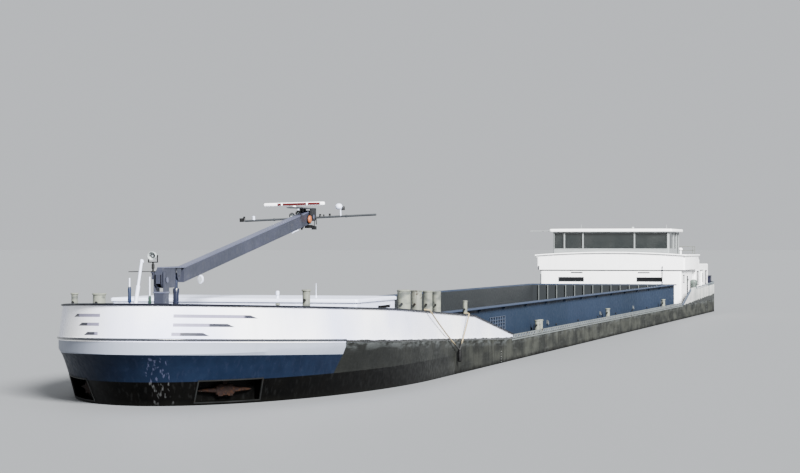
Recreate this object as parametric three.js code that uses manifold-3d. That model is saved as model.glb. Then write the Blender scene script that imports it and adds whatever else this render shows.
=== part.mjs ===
// Scale model, 1:10, of a 110 m motor cargo barge: an open hold between a bow with a folding radar mast
// and a stern deckhouse with a lifting wheelhouse. Millimetres, +X to the bow, +Y to port, +Z up.
// 100 mm here is 1 m on the ship.

import * as THREE from 'three';
import { mergeVertices } from 'three/addons/utils/BufferGeometryUtils.js';
import Module from 'manifold-3d';

const wasm = await Module();
wasm.setup();

// Driving dimensions
const LENGTH = 11000;
const BEAM = 1145;
const WATERLINE = 320;
const RUB = 5;
const BOW_X = LENGTH / 2 - RUB;
const STERN_X = -LENGTH / 2;
const HALF_BEAM = BEAM / 2;
const BILGE_RADIUS = 50;
const GAP = 0.3;

// Heights over the flat bottom
const GANGWAY_Z = WATERLINE + 97;
const FOREDECK_Z = WATERLINE + 205;
const KNUCKLE_Z = WATERLINE + 166;
const COAMING_Z = WATERLINE + 244;
const HOLD_FLOOR_Z = 60;
const AFT_DECK_Z = GANGWAY_Z;
const STERN_BULWARK_Z = WATERLINE + 206;
const STERN_END_BULWARK_Z = WATERLINE + 239;
const BULWARK_RISE = 121;

// Places along the ship, measured aft from the tip of the bow
const HOLD_FORE = 2000;
const HOLD_AFT = 8850;
const BOW_RUN = 1400;
const BULWARK_STEP = 2410;
const BULWARK_END = 3100;
const STERN_BULWARK_START = 8870;
const STERN_BULWARK_FULL = 9310;
const HOUSE_FRONT = 9200;

const HOLD_HALF = 500;
const PLATE = 8;
const COAMING_WALL = 10;

const station = (aftOfBow) => BOW_X - aftOfBow;

// The foredeck falls aft in a straight line, from the bow down to the gangways
const SHEER_END = 3000;
const SHEER = (FOREDECK_Z - GANGWAY_Z) / SHEER_END;
const deckAt = (x) => GANGWAY_Z + SHEER * Math.max(0, x - station(SHEER_END));

const FINISHES = {
  hull: { color: 0x3c4044, roughness: 0.7, metalness: 0.1 },
  white: { color: 0xe4e6ea, roughness: 0.35, metalness: 0.0 },
  coaming: { color: 0x4a6080, roughness: 0.5, metalness: 0.1 },
  deck: { color: 0x8fa2b0, roughness: 0.7, metalness: 0.0 },
  mast: { color: 0x7a7f93, roughness: 0.45, metalness: 0.1 },
  navy: { color: 0x2c3350, roughness: 0.4, metalness: 0.1 },
  post: { color: 0xc6c8c0, roughness: 0.6, metalness: 0.0 },
  steel: { color: 0x9a9ea3, roughness: 0.35, metalness: 0.8 },
  bronze: { color: 0x9a7b4a, roughness: 0.4, metalness: 0.9 },
  rust: { color: 0x5a3527, roughness: 0.85, metalness: 0.1 },
  glass: { color: 0x4b5f63, roughness: 0.08, metalness: 0.0, transparent: true, opacity: 0.45 },
  black: { color: 0x17181a, roughness: 0.6, metalness: 0.0 },
  rope: { color: 0xb9b39c, roughness: 0.9, metalness: 0.0 },
};

const barge = new THREE.Group();
barge.name = 'river_barge';

// Solids: closed geometry to and from the boolean library

function solid(geometry) {
  const bare = geometry.clone();
  bare.deleteAttribute('normal');
  bare.deleteAttribute('uv');
  const merged = mergeVertices(bare, 1e-4);
  const mesh = new wasm.Mesh({
    numProp: 3,
    vertProperties: new Float32Array(merged.attributes.position.array),
    triVerts: new Uint32Array(merged.index.array),
  });
  return new wasm.Manifold(mesh);
}

function surface(body) {
  const mesh = body.getMesh();
  const geometry = new THREE.BufferGeometry();
  geometry.setAttribute('position', new THREE.BufferAttribute(new Float32Array(mesh.vertProperties), 3));
  geometry.setIndex(new THREE.BufferAttribute(new Uint32Array(mesh.triVerts), 1));
  geometry.computeVertexNormals();
  return geometry;
}

const join = (first, ...rest) => rest.reduce((body, next) => body.add(next), first);
const cut = (first, ...rest) => rest.reduce((body, next) => body.subtract(next), first);

function place(name, body, finish, { at = [0, 0, 0], turn = [0, 0, 0], group = barge } = {}) {
  const mesh = new THREE.Mesh(surface(body), new THREE.MeshStandardMaterial(FINISHES[finish]));
  mesh.name = name;
  mesh.position.set(...at);
  mesh.rotation.set(...turn);
  group.add(mesh);
  return mesh;
}

function block(x0, x1, y0, y1, z0, z1) {
  const geometry = new THREE.BoxGeometry(x1 - x0, y1 - y0, z1 - z0);
  geometry.translate((x0 + x1) / 2, (y0 + y1) / 2, (z0 + z1) / 2);
  return solid(geometry);
}

function extrude(points, depth, basis) {
  const shape = new THREE.Shape(points.map(([u, v]) => new THREE.Vector2(u, v)));
  const geometry = new THREE.ExtrudeGeometry(shape, { depth, bevelEnabled: false });
  geometry.applyMatrix4(basis);
  return solid(geometry);
}

// An outline drawn in (x, z) and carried from y0 to y1
function acrossShip(points, y0, y1) {
  const basis = new THREE.Matrix4().makeBasis(
    new THREE.Vector3(1, 0, 0), new THREE.Vector3(0, 0, 1), new THREE.Vector3(0, -1, 0));
  basis.setPosition(0, y1, 0);
  return extrude(points, y1 - y0, basis);
}

// An outline drawn in (y, z) and carried from x0 to x1
function alongShip(points, x0, x1) {
  const basis = new THREE.Matrix4().makeBasis(
    new THREE.Vector3(0, 1, 0), new THREE.Vector3(0, 0, 1), new THREE.Vector3(1, 0, 0));
  basis.setPosition(x0, 0, 0);
  return extrude(points, x1 - x0, basis);
}

// An outline drawn in (x, y) and carried from z0 to z1
function upright(points, z0, z1) {
  const basis = new THREE.Matrix4().makeTranslation(0, 0, z0);
  return extrude(points, z1 - z0, basis);
}

const AXIS_TURN = { x: ['rotateZ', -Math.PI / 2], y: ['rotateX', 0], z: ['rotateX', Math.PI / 2] };

function rod(axis, radius, from, to, segments = 16) {
  const geometry = new THREE.CylinderGeometry(radius, radius, to - from, segments);
  geometry.translate(0, (from + to) / 2, 0);
  const [turn, angle] = AXIS_TURN[axis];
  geometry[turn](angle);
  return solid(geometry);
}

// A rod through two or more points, mitred where it bends
function bar(points, radius, segments = 8) {
  const centres = points.map((point) => new THREE.Vector3(...point));
  const rings = centres.map((centre, i) => {
    const before = centres[Math.max(i - 1, 0)];
    const after = centres[Math.min(i + 1, centres.length - 1)];
    const tangent = after.clone().sub(before).normalize();
    const side = Math.abs(tangent.z) < 0.9 ? new THREE.Vector3(0, 0, 1) : new THREE.Vector3(1, 0, 0);
    const u = side.clone().cross(tangent).normalize();
    const v = tangent.clone().cross(u);
    return Array.from({ length: segments }, (_, k) => {
      const angle = (2 * Math.PI * k) / segments;
      return centre.clone().addScaledVector(u, radius * Math.cos(angle))
        .addScaledVector(v, radius * Math.sin(angle)).toArray();
    });
  });
  return loft(rings);
}

// A profile of [radius, height] turned about Z
function turned(profile, segments = 20) {
  const geometry = new THREE.LatheGeometry(profile.map(([r, h]) => new THREE.Vector2(r, h)), segments);
  geometry.rotateX(Math.PI / 2);
  return solid(geometry);
}

// A closed body through rings that all have the same number of points
function loft(rings) {
  const count = rings[0].length;
  const position = rings.flat(2);
  const faces = [];
  for (let k = 0; k < rings.length - 1; k += 1) {
    for (let i = 0; i < count; i += 1) {
      const a = k * count + i;
      const b = k * count + ((i + 1) % count);
      faces.push(a, b, b + count, a, b + count, a + count);
    }
  }
  const capOf = (ring, first, flip) => {
    const normal = new THREE.Vector3();
    ring.forEach((p, i) => {
      const q = ring[(i + 1) % count];
      normal.x += (p[1] - q[1]) * (p[2] + q[2]);
      normal.y += (p[2] - q[2]) * (p[0] + q[0]);
      normal.z += (p[0] - q[0]) * (p[1] + q[1]);
    });
    normal.normalize();
    const side = Math.abs(normal.z) < 0.9 ? new THREE.Vector3(0, 0, 1) : new THREE.Vector3(1, 0, 0);
    const u = side.clone().cross(normal).normalize();
    const v = normal.clone().cross(u);
    const flat = ring.map((p) => new THREE.Vector2(
      u.x * p[0] + u.y * p[1] + u.z * p[2], v.x * p[0] + v.y * p[1] + v.z * p[2]));
    THREE.ShapeUtils.triangulateShape(flat, []).forEach(([a, b, c]) => {
      faces.push(first + a, first + (flip ? c : b), first + (flip ? b : c));
    });
  };
  capOf(rings[0], 0, true);
  capOf(rings[rings.length - 1], (rings.length - 1) * count, false);
  const geometry = new THREE.BufferGeometry();
  geometry.setAttribute('position', new THREE.Float32BufferAttribute(position, 3));
  geometry.setIndex(faces);
  const body = solid(geometry);
  return body.volume() > 0 ? body : solid(inverted(geometry));
}

function inverted(geometry) {
  const turnedRound = geometry.clone();
  const index = turnedRound.getIndex();
  for (let i = 0; i < index.count; i += 3) {
    const b = index.getX(i + 1);
    index.setX(i + 1, index.getX(i + 2));
    index.setX(i + 2, b);
  }
  return turnedRound;
}

// A wall that follows a path in plan. Each section is a list of [outward offset, height].
function wallAlong(path, sectionAt) {
  const rings = path.map(([x, y], i) => {
    const before = path[Math.max(i - 1, 0)];
    const after = path[Math.min(i + 1, path.length - 1)];
    const tangent = new THREE.Vector2(after[0] - before[0], after[1] - before[1]).normalize();
    const out = [tangent.y, -tangent.x];
    return sectionAt(x, y).map(([offset, z]) => [x + out[0] * offset, y + out[1] * offset, z]);
  });
  return loft(rings);
}

// Hull form

const BILGE_STEPS = 3;
const bilge = [];
for (let i = 0; i <= BILGE_STEPS; i += 1) {
  const angle = (i / BILGE_STEPS) * (Math.PI / 2);
  bilge.push([HALF_BEAM - BILGE_RADIUS * (1 - Math.sin(angle)), BILGE_RADIUS * (1 - Math.cos(angle))]);
}

function halfBreadthAt(z) {
  if (z >= BILGE_RADIUS) return HALF_BEAM;
  const rise = BILGE_RADIUS - z;
  return HALF_BEAM - BILGE_RADIUS + Math.sqrt(BILGE_RADIUS * BILGE_RADIUS - rise * rise);
}

// The bow in plan is half an ellipse. Under the knuckle it draws back and grows longer.
const BOW_STEPS = 32;
const BOW_RAKE = 215;
const BOW_RAKE_POWER = 0.75;

function bowOutline(z, inset = 0, aft = HOLD_FORE - GAP) {
  const depth = Math.max(0, (KNUCKLE_Z - z) / KNUCKLE_Z);
  const setback = BOW_RAKE * depth ** BOW_RAKE_POWER;
  const run = Math.min(BOW_RUN + 1.6 * setback, HOLD_FORE - 40 - setback) - inset;
  const half = halfBreadthAt(z) - inset;
  const fullX = BOW_X - setback - inset - run;
  const points = [];
  for (let i = 0; i <= BOW_STEPS; i += 1) {
    const angle = -Math.PI / 2 + (Math.PI * i) / BOW_STEPS;
    points.push([fullX + run * Math.cos(angle), half * Math.sin(angle)]);
  }
  const aftX = station(aft);
  return [[aftX, -half], ...points, [aftX, half]];
}

const BOW_LEVELS = [...bilge.map(([, z]) => z), 120, 200, 260, WATERLINE, 360, 397, 440, KNUCKLE_Z, FOREDECK_Z];
const STERN_RUN = 330;
const STERN_FULLNESS = 0.65;
const STERN_TUNNEL = 1300;
const STERN_KNUCKLE_Z = 300;
const STERN_STEPS = 20;

function sternOutline(z, inset = 0, fore = HOLD_AFT + GAP) {
  const depth = Math.max(0, 1 - z / STERN_KNUCKLE_Z);
  const setback = STERN_TUNNEL * Math.sqrt(depth);
  const run = STERN_RUN + 0.3 * setback - inset;
  const half = halfBreadthAt(z) - inset;
  const fullX = STERN_X + setback + inset + run;
  const points = [];
  for (let i = 0; i <= STERN_STEPS; i += 1) {
    const angle = Math.PI / 2 - (Math.PI * i) / STERN_STEPS;
    const reach = Math.max(0, Math.cos(angle)) ** STERN_FULLNESS;
    const breadth = Math.sign(Math.sin(angle)) * Math.abs(Math.sin(angle)) ** STERN_FULLNESS;
    points.push([fullX - run * reach, half * breadth]);
  }
  const foreX = station(fore);
  return [[foreX, half], ...points, [foreX, -half]];
}

// Anchor pockets in the bow, one each side
const POCKET = { aft: 254, y: 250, turn: 0.689, half: 122, depth: 40, bottom: 330, top: 397 };
const portPocket = block(-POCKET.half, POCKET.half, -POCKET.depth, 120, POCKET.bottom, POCKET.top)
  .rotate([0, 0, THREE.MathUtils.radToDeg(-POCKET.turn)])
  .translate(station(POCKET.aft), POCKET.y, 0);
const starboardPocket = portPocket.mirror([0, 1, 0]);

const overDeck = acrossShip([
  [station(SHEER_END), GANGWAY_Z], [BOW_X + 60, deckAt(BOW_X + 60)], [BOW_X + 60, 700], [station(SHEER_END), 700],
], -700, 700);
const underDeck = acrossShip([
  [station(SHEER_END), GANGWAY_Z - 60], [BOW_X + 60, GANGWAY_Z - 60], [BOW_X + 60, deckAt(BOW_X + 60) + GAP],
  [station(SHEER_END), GANGWAY_Z + GAP],
], -700, 700);
const onDeck = (body) => body.subtract(underDeck);

const bowBlock = cut(loft(BOW_LEVELS.map((z) => bowOutline(z).map(([x, y]) => [x, y, z]))), overDeck);

// A steel post with cross pins, standing on a deck
function bollard(radius, height, pins) {
  return join(
    turned([[0, -2], [radius, -2], [radius, height - 4], [radius - 2, height], [0, height]]),
    ...pins.map((share) => rod('x', 3, -radius - 7, radius + 7, 8).translate(0, 0, share * height)),
  );
}

// Bollards welded to the foredeck: aft of the bow, distance to port, radius, height of the top over the bottom
const BOW_BOLLARDS = [[720, -390, 23, 659], [480, -378, 11, 667], [640, 389, 13, 665], [480, 341, 5, 665]];
const bowBollards = BOW_BOLLARDS.map(([aft, y, radius, top]) => {
  const deck = deckAt(station(aft));
  return bollard(radius, top - deck, [0.45, 0.8]).translate(station(aft), y, deck);
});
place('hull_bow', join(cut(bowBlock, portPocket, starboardPocket), ...bowBollards), 'hull');

const holdFloor = [[-HOLD_HALF, HOLD_FLOOR_Z], [HOLD_HALF, HOLD_FLOOR_Z]];
const midSection = [
  ...bilge,
  [HALF_BEAM, GANGWAY_Z], [HOLD_HALF, GANGWAY_Z], holdFloor[1],
  holdFloor[0], [-HOLD_HALF, GANGWAY_Z], [-HALF_BEAM, GANGWAY_Z],
  ...[...bilge].reverse().map(([y, z]) => [-y, z]),
];

// Bollards welded to the gangways: aft of the bow, side, radius, height
const GANGWAY_BOLLARDS = [[2333, 1, 6.2, 159], ...[3780, 3850, 5800, 8040].flatMap(
  (aft) => [[aft, 1, 12, 60], [aft, -1, 12, 60]])];
const BOLLARD_Y = { tall: 536.9, low: 548 };
const gangwayBollards = GANGWAY_BOLLARDS.map(([aft, side, radius, height]) => bollard(radius, height, [0.6])
  .translate(station(aft), side * (height > 100 ? BOLLARD_Y.tall : BOLLARD_Y.low), deckAt(station(aft))));
const midBody = alongShip(midSection, station(HOLD_AFT), station(HOLD_FORE));
const sideRamps = [1, -1].map((side) => acrossShip([
  [station(SHEER_END), GANGWAY_Z - 20], [station(HOLD_FORE), GANGWAY_Z - 20],
  [station(HOLD_FORE), deckAt(station(HOLD_FORE))], [station(SHEER_END), GANGWAY_Z],
], side > 0 ? HOLD_HALF : -HALF_BEAM, side > 0 ? HALF_BEAM : -HOLD_HALF));
place('hull_midbody', join(midBody, ...sideRamps, ...gangwayBollards), 'hull');

// Stern block with the engine room's well, the stern tube and two rudder trunks
const SHAFT_Z = 105;
const ENGINE_ROOM = { x0: -4350, x1: -3850, half: 260, floor: 90 };
const PROPELLER_X = -4945;
const RUDDER = { x: -5130, y: 62, chordFore: 70, chordAft: 125, thick: 12, bottom: 14, top: 212, stock: 9 };
const RUDDER_TRUNK_Z = 236;
const PROPELLER_HUB = 34;
const STERN_TUBE_END = PROPELLER_X + PROPELLER_HUB + GAP;
const STERN_LEVELS = [...bilge.map(([, z]) => z), 100, 150, 200, 240, 270, 290, STERN_KNUCKLE_Z, AFT_DECK_Z];

const sternForm = loft(STERN_LEVELS.map((z) => sternOutline(z).map(([x, y]) => [x, y, z])));
const skeg = acrossShip([
  [-4150, 2], [-4700, 60], [STERN_TUBE_END, SHAFT_Z - 18], [STERN_TUBE_END, SHAFT_Z + 18], [-4800, 240], [-4150, 200],
], -14, 14);
const sternTube = rod('x', 20, STERN_TUBE_END, -4400).translate(0, 0, SHAFT_Z);
const rudderTrunks = [1, -1].map((side) => rod('z', 17, RUDDER_TRUNK_Z, 300).translate(RUDDER.x, side * RUDDER.y, 0));
const engineWell = block(ENGINE_ROOM.x0, ENGINE_ROOM.x1, -ENGINE_ROOM.half, ENGINE_ROOM.half,
  ENGINE_ROOM.floor, AFT_DECK_Z + 1);
const sternBlock = cut(join(sternForm, skeg, sternTube, ...rudderTrunks), engineWell);
place('hull_stern', sternBlock, 'hull');

const ENGINE = { length: 300, width: 130, height: 170 };
const engineX = (ENGINE_ROOM.x0 + ENGINE_ROOM.x1) / 2;
place('main_engine', block(-ENGINE.length / 2, ENGINE.length / 2, -ENGINE.width / 2, ENGINE.width / 2,
  GAP, ENGINE.height), 'navy', { at: [engineX, 0, ENGINE_ROOM.floor] });

// Propeller in its nozzle, and the two rudders behind it
const NOZZLE = { inner: 86, outer: 98, length: 96 };
const nozzleRing = rod('x', NOZZLE.outer, -NOZZLE.length / 2, NOZZLE.length / 2, 32)
  .subtract(rod('x', NOZZLE.inner, -NOZZLE.length, NOZZLE.length, 32))
  .translate(PROPELLER_X, 0, SHAFT_Z);
const headBox = block(PROPELLER_X - 30, PROPELLER_X + 42, -16, 16, SHAFT_Z + NOZZLE.outer - 6, 290);
const nozzle = join(nozzleRing, cut(headBox, sternBlock.translate(0, 0, -GAP)));
place('propeller_nozzle', nozzle, 'hull');

const BLADES = 4;
const BLADE_TIP = 80;
const hub = rod('x', 17, -PROPELLER_HUB, PROPELLER_HUB);
let propeller = hub;
for (let i = 0; i < BLADES; i += 1) {
  const outline = new THREE.Shape();
  outline.moveTo(-10, 8);
  outline.quadraticCurveTo(-34, 46, -18, BLADE_TIP - 6);
  outline.quadraticCurveTo(0, BLADE_TIP + 4, 18, BLADE_TIP - 6);
  outline.quadraticCurveTo(34, 46, 10, 8);
  const geometry = new THREE.ExtrudeGeometry(outline, { depth: 4, bevelEnabled: false, curveSegments: 5 });
  geometry.translate(0, 0, -2);
  geometry.rotateX(Math.PI / 2);
  geometry.rotateX(Math.PI);
  geometry.rotateZ(Math.PI / 3);
  geometry.rotateX(Math.PI / 2 + (2 * Math.PI * i) / BLADES);
  propeller = propeller.add(solid(geometry));
}
place('propeller', propeller, 'bronze', { at: [PROPELLER_X, 0, SHAFT_Z] });

const rudderBlade = upright([
  [RUDDER.chordFore, 0], [RUDDER.chordFore - 25, RUDDER.thick / 2], [-RUDDER.chordAft, 2],
  [-RUDDER.chordAft, -2], [RUDDER.chordFore - 25, -RUDDER.thick / 2],
], RUDDER.bottom, RUDDER.top);
const rudderStock = rod('z', RUDDER.stock, RUDDER.top - 10, RUDDER_TRUNK_Z - GAP);
for (const [name, side] of [['rudder_port', 1], ['rudder_starboard', -1]]) {
  place(name, join(rudderBlade, rudderStock), 'hull', { at: [RUDDER.x, side * RUDDER.y, 0] });
}

// Coamings round the hold: walls with a flange turned outwards at the top
const COAMING_FLANGE = 20;
const FLANGE_THICK = 8;
const sideSection = (side) => {
  const inner = HOLD_HALF;
  const outer = HOLD_HALF + COAMING_WALL;
  const points = [
    [inner, GANGWAY_Z + GAP], [outer, GANGWAY_Z + GAP], [outer, COAMING_Z - FLANGE_THICK],
    [outer + COAMING_FLANGE, COAMING_Z - FLANGE_THICK], [outer + COAMING_FLANGE, COAMING_Z], [inner, COAMING_Z],
  ];
  return side > 0 ? points : mirroredAcross(points);
};
function mirroredAcross(points) {
  return points.map(([y, z]) => [-y, z]).reverse();
}
for (const [name, side] of [['coaming_port', 1], ['coaming_starboard', -1]]) {
  place(name, onDeck(alongShip(sideSection(side), station(HOLD_AFT) + GAP, station(HOLD_FORE) - GAP)), 'coaming');
}
const endHalf = HOLD_HALF + COAMING_WALL;
place('coaming_fore', onDeck(acrossShip([
  [station(HOLD_FORE) + GAP, GANGWAY_Z], [station(HOLD_FORE) + COAMING_WALL, GANGWAY_Z],
  [station(HOLD_FORE) + COAMING_WALL, COAMING_Z - FLANGE_THICK],
  [station(HOLD_FORE) + COAMING_WALL + COAMING_FLANGE, COAMING_Z - FLANGE_THICK],
  [station(HOLD_FORE) + COAMING_WALL + COAMING_FLANGE, COAMING_Z], [station(HOLD_FORE) + GAP, COAMING_Z],
], -endHalf, endHalf)), 'coaming');
place('coaming_aft', acrossShip([
  [station(HOLD_AFT) - GAP, AFT_DECK_Z + GAP], [station(HOLD_AFT) - GAP, COAMING_Z],
  [station(HOLD_AFT) - COAMING_WALL - COAMING_FLANGE, COAMING_Z],
  [station(HOLD_AFT) - COAMING_WALL - COAMING_FLANGE, COAMING_Z - FLANGE_THICK],
  [station(HOLD_AFT) - COAMING_WALL, COAMING_Z - FLANGE_THICK],
  [station(HOLD_AFT) - COAMING_WALL, AFT_DECK_Z + GAP],
], -endHalf, endHalf), 'coaming');

// Bow bulwark: leans inwards, with a half-round rub rail at its foot and a cap on top
const TUMBLEHOME = 14;
const CAP = { half: 7, thick: 8 };
const DECK_FIT = 0.6;
const RUB_RAIL = { foot: 4, head: 8, top: 13 };
const capAt = (x) => deckAt(x) + BULWARK_RISE - 0.014 * Math.max(0, station(1200) - x);
function bowBulwarkSection(x) {
  const foot = deckAt(x);
  const top = capAt(x);
  return [
    [-PLATE, foot + DECK_FIT], [0, foot + DECK_FIT], [RUB, foot + RUB_RAIL.foot], [RUB, foot + RUB_RAIL.head],
    [0, foot + RUB_RAIL.top],
    [-TUMBLEHOME, top - CAP.thick], [-TUMBLEHOME + CAP.half, top - CAP.thick], [-TUMBLEHOME + CAP.half, top],
    [-TUMBLEHOME - CAP.half - PLATE, top], [-TUMBLEHOME - CAP.half - PLATE, top - CAP.thick],
    [-TUMBLEHOME - PLATE, top - CAP.thick],
  ];
}
const BOW_WALL_END = BOW_RUN + 40;
const bowRing = bowOutline(FOREDECK_Z, 0, BOW_WALL_END);
place('bulwark_bow', wallAlong(bowRing, bowBulwarkSection), 'white');

// Side bulwarks run aft from the bow, following the deck, and slope away at their ends
const sideBulwarkX = [station(BOW_WALL_END) - GAP, station(HOLD_FORE), station(BULWARK_STEP), station(SHEER_END),
  station(BULWARK_END)];
function sideBulwarkSection(x) {
  const foot = deckAt(x) + GAP;
  const end = Math.max(0, (station(BULWARK_STEP) - x) / (BULWARK_END - BULWARK_STEP));
  const top = end > 0 ? capAt(station(BULWARK_STEP)) * (1 - end) + (GANGWAY_Z + 24) * end : capAt(x);
  const lean = TUMBLEHOME * (1 - end);
  const rubTop = Math.min(foot + RUB_RAIL.head, top - 14);
  return [
    [-PLATE, foot], [0, foot], [0, rubTop - 7], [RUB, rubTop - 4], [RUB, rubTop], [0, rubTop + 4],
    [-lean, top - CAP.thick], [-lean + CAP.half, top - CAP.thick], [-lean + CAP.half, top],
    [-lean - CAP.half - PLATE, top], [-lean - CAP.half - PLATE, top - CAP.thick], [-lean - PLATE, top - CAP.thick],
  ];
}
for (const [name, side] of [['bulwark_side_port', 1], ['bulwark_side_starboard', -1]]) {
  const rings = sideBulwarkX.map((x) => sideBulwarkSection(x)
    .map(([offset, z]) => [x, side * (HALF_BEAM + offset), z]));
  place(name, loft(rings), 'white');
}

// Foredeck: low cabin with an overhanging roof and a door in its aft wall
const FORE_CABIN = { fore: 1000, aft: 1520, half: 460, top: WATERLINE + 319, wall: 10, roof: 12, eave: 6 };
const foreCabin = onDeck(cut(
  join(
    block(station(FORE_CABIN.aft), station(FORE_CABIN.fore), -FORE_CABIN.half, FORE_CABIN.half,
      GANGWAY_Z, FORE_CABIN.top - 1),
    block(station(FORE_CABIN.aft) - FORE_CABIN.eave, station(FORE_CABIN.fore) + FORE_CABIN.eave,
      -FORE_CABIN.half - FORE_CABIN.eave, FORE_CABIN.half + FORE_CABIN.eave, FORE_CABIN.top - FORE_CABIN.roof,
      FORE_CABIN.top),
  ),
  block(station(FORE_CABIN.aft) + FORE_CABIN.wall, station(FORE_CABIN.fore) - FORE_CABIN.wall,
    -FORE_CABIN.half + FORE_CABIN.wall, FORE_CABIN.half - FORE_CABIN.wall, GANGWAY_Z - 1,
    FORE_CABIN.top - FORE_CABIN.roof),
  block(station(FORE_CABIN.aft) - 1, station(FORE_CABIN.aft) + FORE_CABIN.wall + 1, -40, 40,
    deckAt(station(FORE_CABIN.aft)) + 8, FORE_CABIN.top - 24),
));
place('fore_cabin', foreCabin, 'white');

const WINDLASS = { aft: 690, y: 0, axleZ: 48 };
const windlass = join(
  block(-60, 60, -230, 230, -10, 14),
  ...[-180, -60, 60, 180].map((y) => block(-18, 18, y - 8, y + 8, 10, 70)),
  rod('y', 9, -250, 250).translate(0, 0, WINDLASS.axleZ),
  ...[-120, 120].map((y) => rod('y', 32, y - 26, y + 26, 20).translate(0, 0, WINDLASS.axleZ)),
  ...[-215, 215].map((y) => rod('y', 22, y - 22, y + 22, 20).translate(0, 0, WINDLASS.axleZ)),
  block(-34, 34, -44, 44, 10, 92),
);
place('windlass', onDeck(windlass.translate(station(WINDLASS.aft), WINDLASS.y, deckAt(station(WINDLASS.aft)))), 'navy');

// Four tall mooring posts along the port side: name, aft of the bow, distance to port, radius
const MOORING_POSTS = [
  ['mooring_post_1', 1570, 480, 25],
  ['mooring_post_2', 1680, 500, 21],
  ['mooring_post_3', 1780, 519, 18],
  ['mooring_post_4', 1915, 521, 16],
];
const MOORING_POST_HEIGHT = 193;
for (const [name, aft, y, radius] of MOORING_POSTS) {
  const deck = deckAt(station(aft));
  place(name, onDeck(bollard(radius, MOORING_POST_HEIGHT, [0.47, 0.72]).translate(station(aft), y, deck)), 'post');
}

// Anchors in their pockets
const FLUKE = [[28, -16], [104, -9], [104, 6], [28, 16]];
const ANCHOR_HALF = 12;
const anchor = join(
  block(-34, 34, -ANCHOR_HALF, ANCHOR_HALF, -20, 20),
  block(-9, 9, -9, 9, -4, 30),
  acrossShip(FLUKE, -8, 8),
  acrossShip(FLUKE.map(([x, z]) => [-x, z]).reverse(), -8, 8),
);
const anchorIn = POCKET.depth - ANCHOR_HALF - GAP;
for (const [name, side] of [['anchor_port', 1], ['anchor_starboard', -1]]) {
  const x = station(POCKET.aft) - anchorIn * Math.sin(POCKET.turn);
  const y = side * (POCKET.y - anchorIn * Math.cos(POCKET.turn));
  place(name, anchor, 'rust', { at: [x, y, (POCKET.bottom + POCKET.top) / 2], turn: [0, 0, -side * POCKET.turn] });
}

// Mast: pedestal, boom with a cranked foot, head kept level, and the cylinder that lifts it
const MAST = { pivotAft: 310, pivotZ: 714, half: 12, foot: 180, depth: 52, length: 1590 };
const MAST_RISE = Math.tan(THREE.MathUtils.degToRad(8.5));
const pivot = [station(MAST.pivotAft), 0, MAST.pivotZ];
const CHEEK = { inner: MAST.half + 2, thick: 5, reach: 22, bottom: -48, top: 26, ledge: 7 };
const pedestal = join(
  block(-44, 44, -42, 42, -220, -186),
  block(-CHEEK.reach, CHEEK.reach, -CHEEK.inner - CHEEK.thick, CHEEK.inner + CHEEK.thick, -190, -38),
  ...[1, -1].map((side) => block(-CHEEK.reach, CHEEK.reach, side > 0 ? CHEEK.inner : -CHEEK.inner - CHEEK.thick,
    side > 0 ? CHEEK.inner + CHEEK.thick : -CHEEK.inner, CHEEK.bottom, CHEEK.top)),
  block(6, 30, -CHEEK.inner - CHEEK.thick - CHEEK.ledge, -CHEEK.inner, CHEEK.top - 8, CHEEK.top),
  rod('y', 7, -CHEEK.inner - 3, CHEEK.inner + 3),
);
place('mast_pedestal', onDeck(pedestal.translate(...pivot)), 'mast');

const headTop = 42 + (MAST.length - MAST.foot) * MAST_RISE;
const boomOutline = [
  [18, -26], [30, -12], [30, 22], [5, 42], [-MAST.foot, 42], [-MAST.length, headTop],
  [-MAST.length, headTop - MAST.depth], [-MAST.foot, 42 - MAST.depth], [-60, -26],
].reverse();
const mast = new THREE.Group();
mast.position.set(...pivot);
barge.add(mast);
const CYLINDER = {
  foot: [5060, 0, 545], eye: [5050, 0, 726], barrel: 10, bore: 6.6, rod: 6, length: 140, pin: 4, rodStart: 38,
};
const eyeFromPivot = [CYLINDER.eye[0] - pivot[0], CYLINDER.eye[2] - pivot[2]];
const EYE_CLEAR = 22;
const boom = cut(acrossShip(boomOutline, -MAST.half, MAST.half), rod('y', 7.4, -60, 60),
  rod('y', 6.4, -60, 60).translate(12 - MAST.length, 0, headTop - MAST.depth / 2),
  block(eyeFromPivot[0] - 40, eyeFromPivot[0] + 34, -7.5, 7.5, -60, eyeFromPivot[1] + EYE_CLEAR),
  block(eyeFromPivot[0] - 40, eyeFromPivot[0] + 34, -30, 30, -60, -3));
place('mast_boom', boom, 'mast', { group: mast });

const head = new THREE.Group();
const headPin = [-MAST.length + 12, 0, headTop - MAST.depth / 2];
head.position.set(...headPin);
mast.add(head);
const CROSSARM = 546;
const HEAD_PIN = 6;
const headInner = MAST.half + 5;
const headBracket = join(
  rod('y', HEAD_PIN, -headInner - 3, headInner + 3),
  ...[1, -1].map((side) => block(-40, 20, side > 0 ? headInner : -headInner - 8,
    side > 0 ? headInner + 8 : -headInner, -16, 34)),
  block(-40, 190, -headInner - 8, headInner + 8, 32, 36),
);
const LAMPS = [-276, -236, 42, 57, 82, 143];
const DOME = { y: 125, stalk: 28, radius: 14 };
const crossarm = join(
  rod('y', 4.5, -CROSSARM / 2, CROSSARM / 2, 12),
  ...LAMPS.map((y) => rod('z', 4.5, 3, y < 0 ? 19 : 14, 10).translate(0, y, 0)),
  rod('z', 3, 3, DOME.stalk + 2, 8).translate(0, DOME.y, 0),
  turned([[0, 0], [DOME.radius * 0.7, 2], [DOME.radius, 9], [DOME.radius * 0.8, 18], [0, 24]], 14)
    .translate(0, DOME.y, DOME.stalk),
).translate(-38, 0, 2);
const GEARBOX_TOP = 37;
const gearbox = block(142, 186, -20, 20, 31, GEARBOX_TOP);
const horn = rod('y', 15.5, 14, 24, 16).translate(25, 0, -10);
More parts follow.
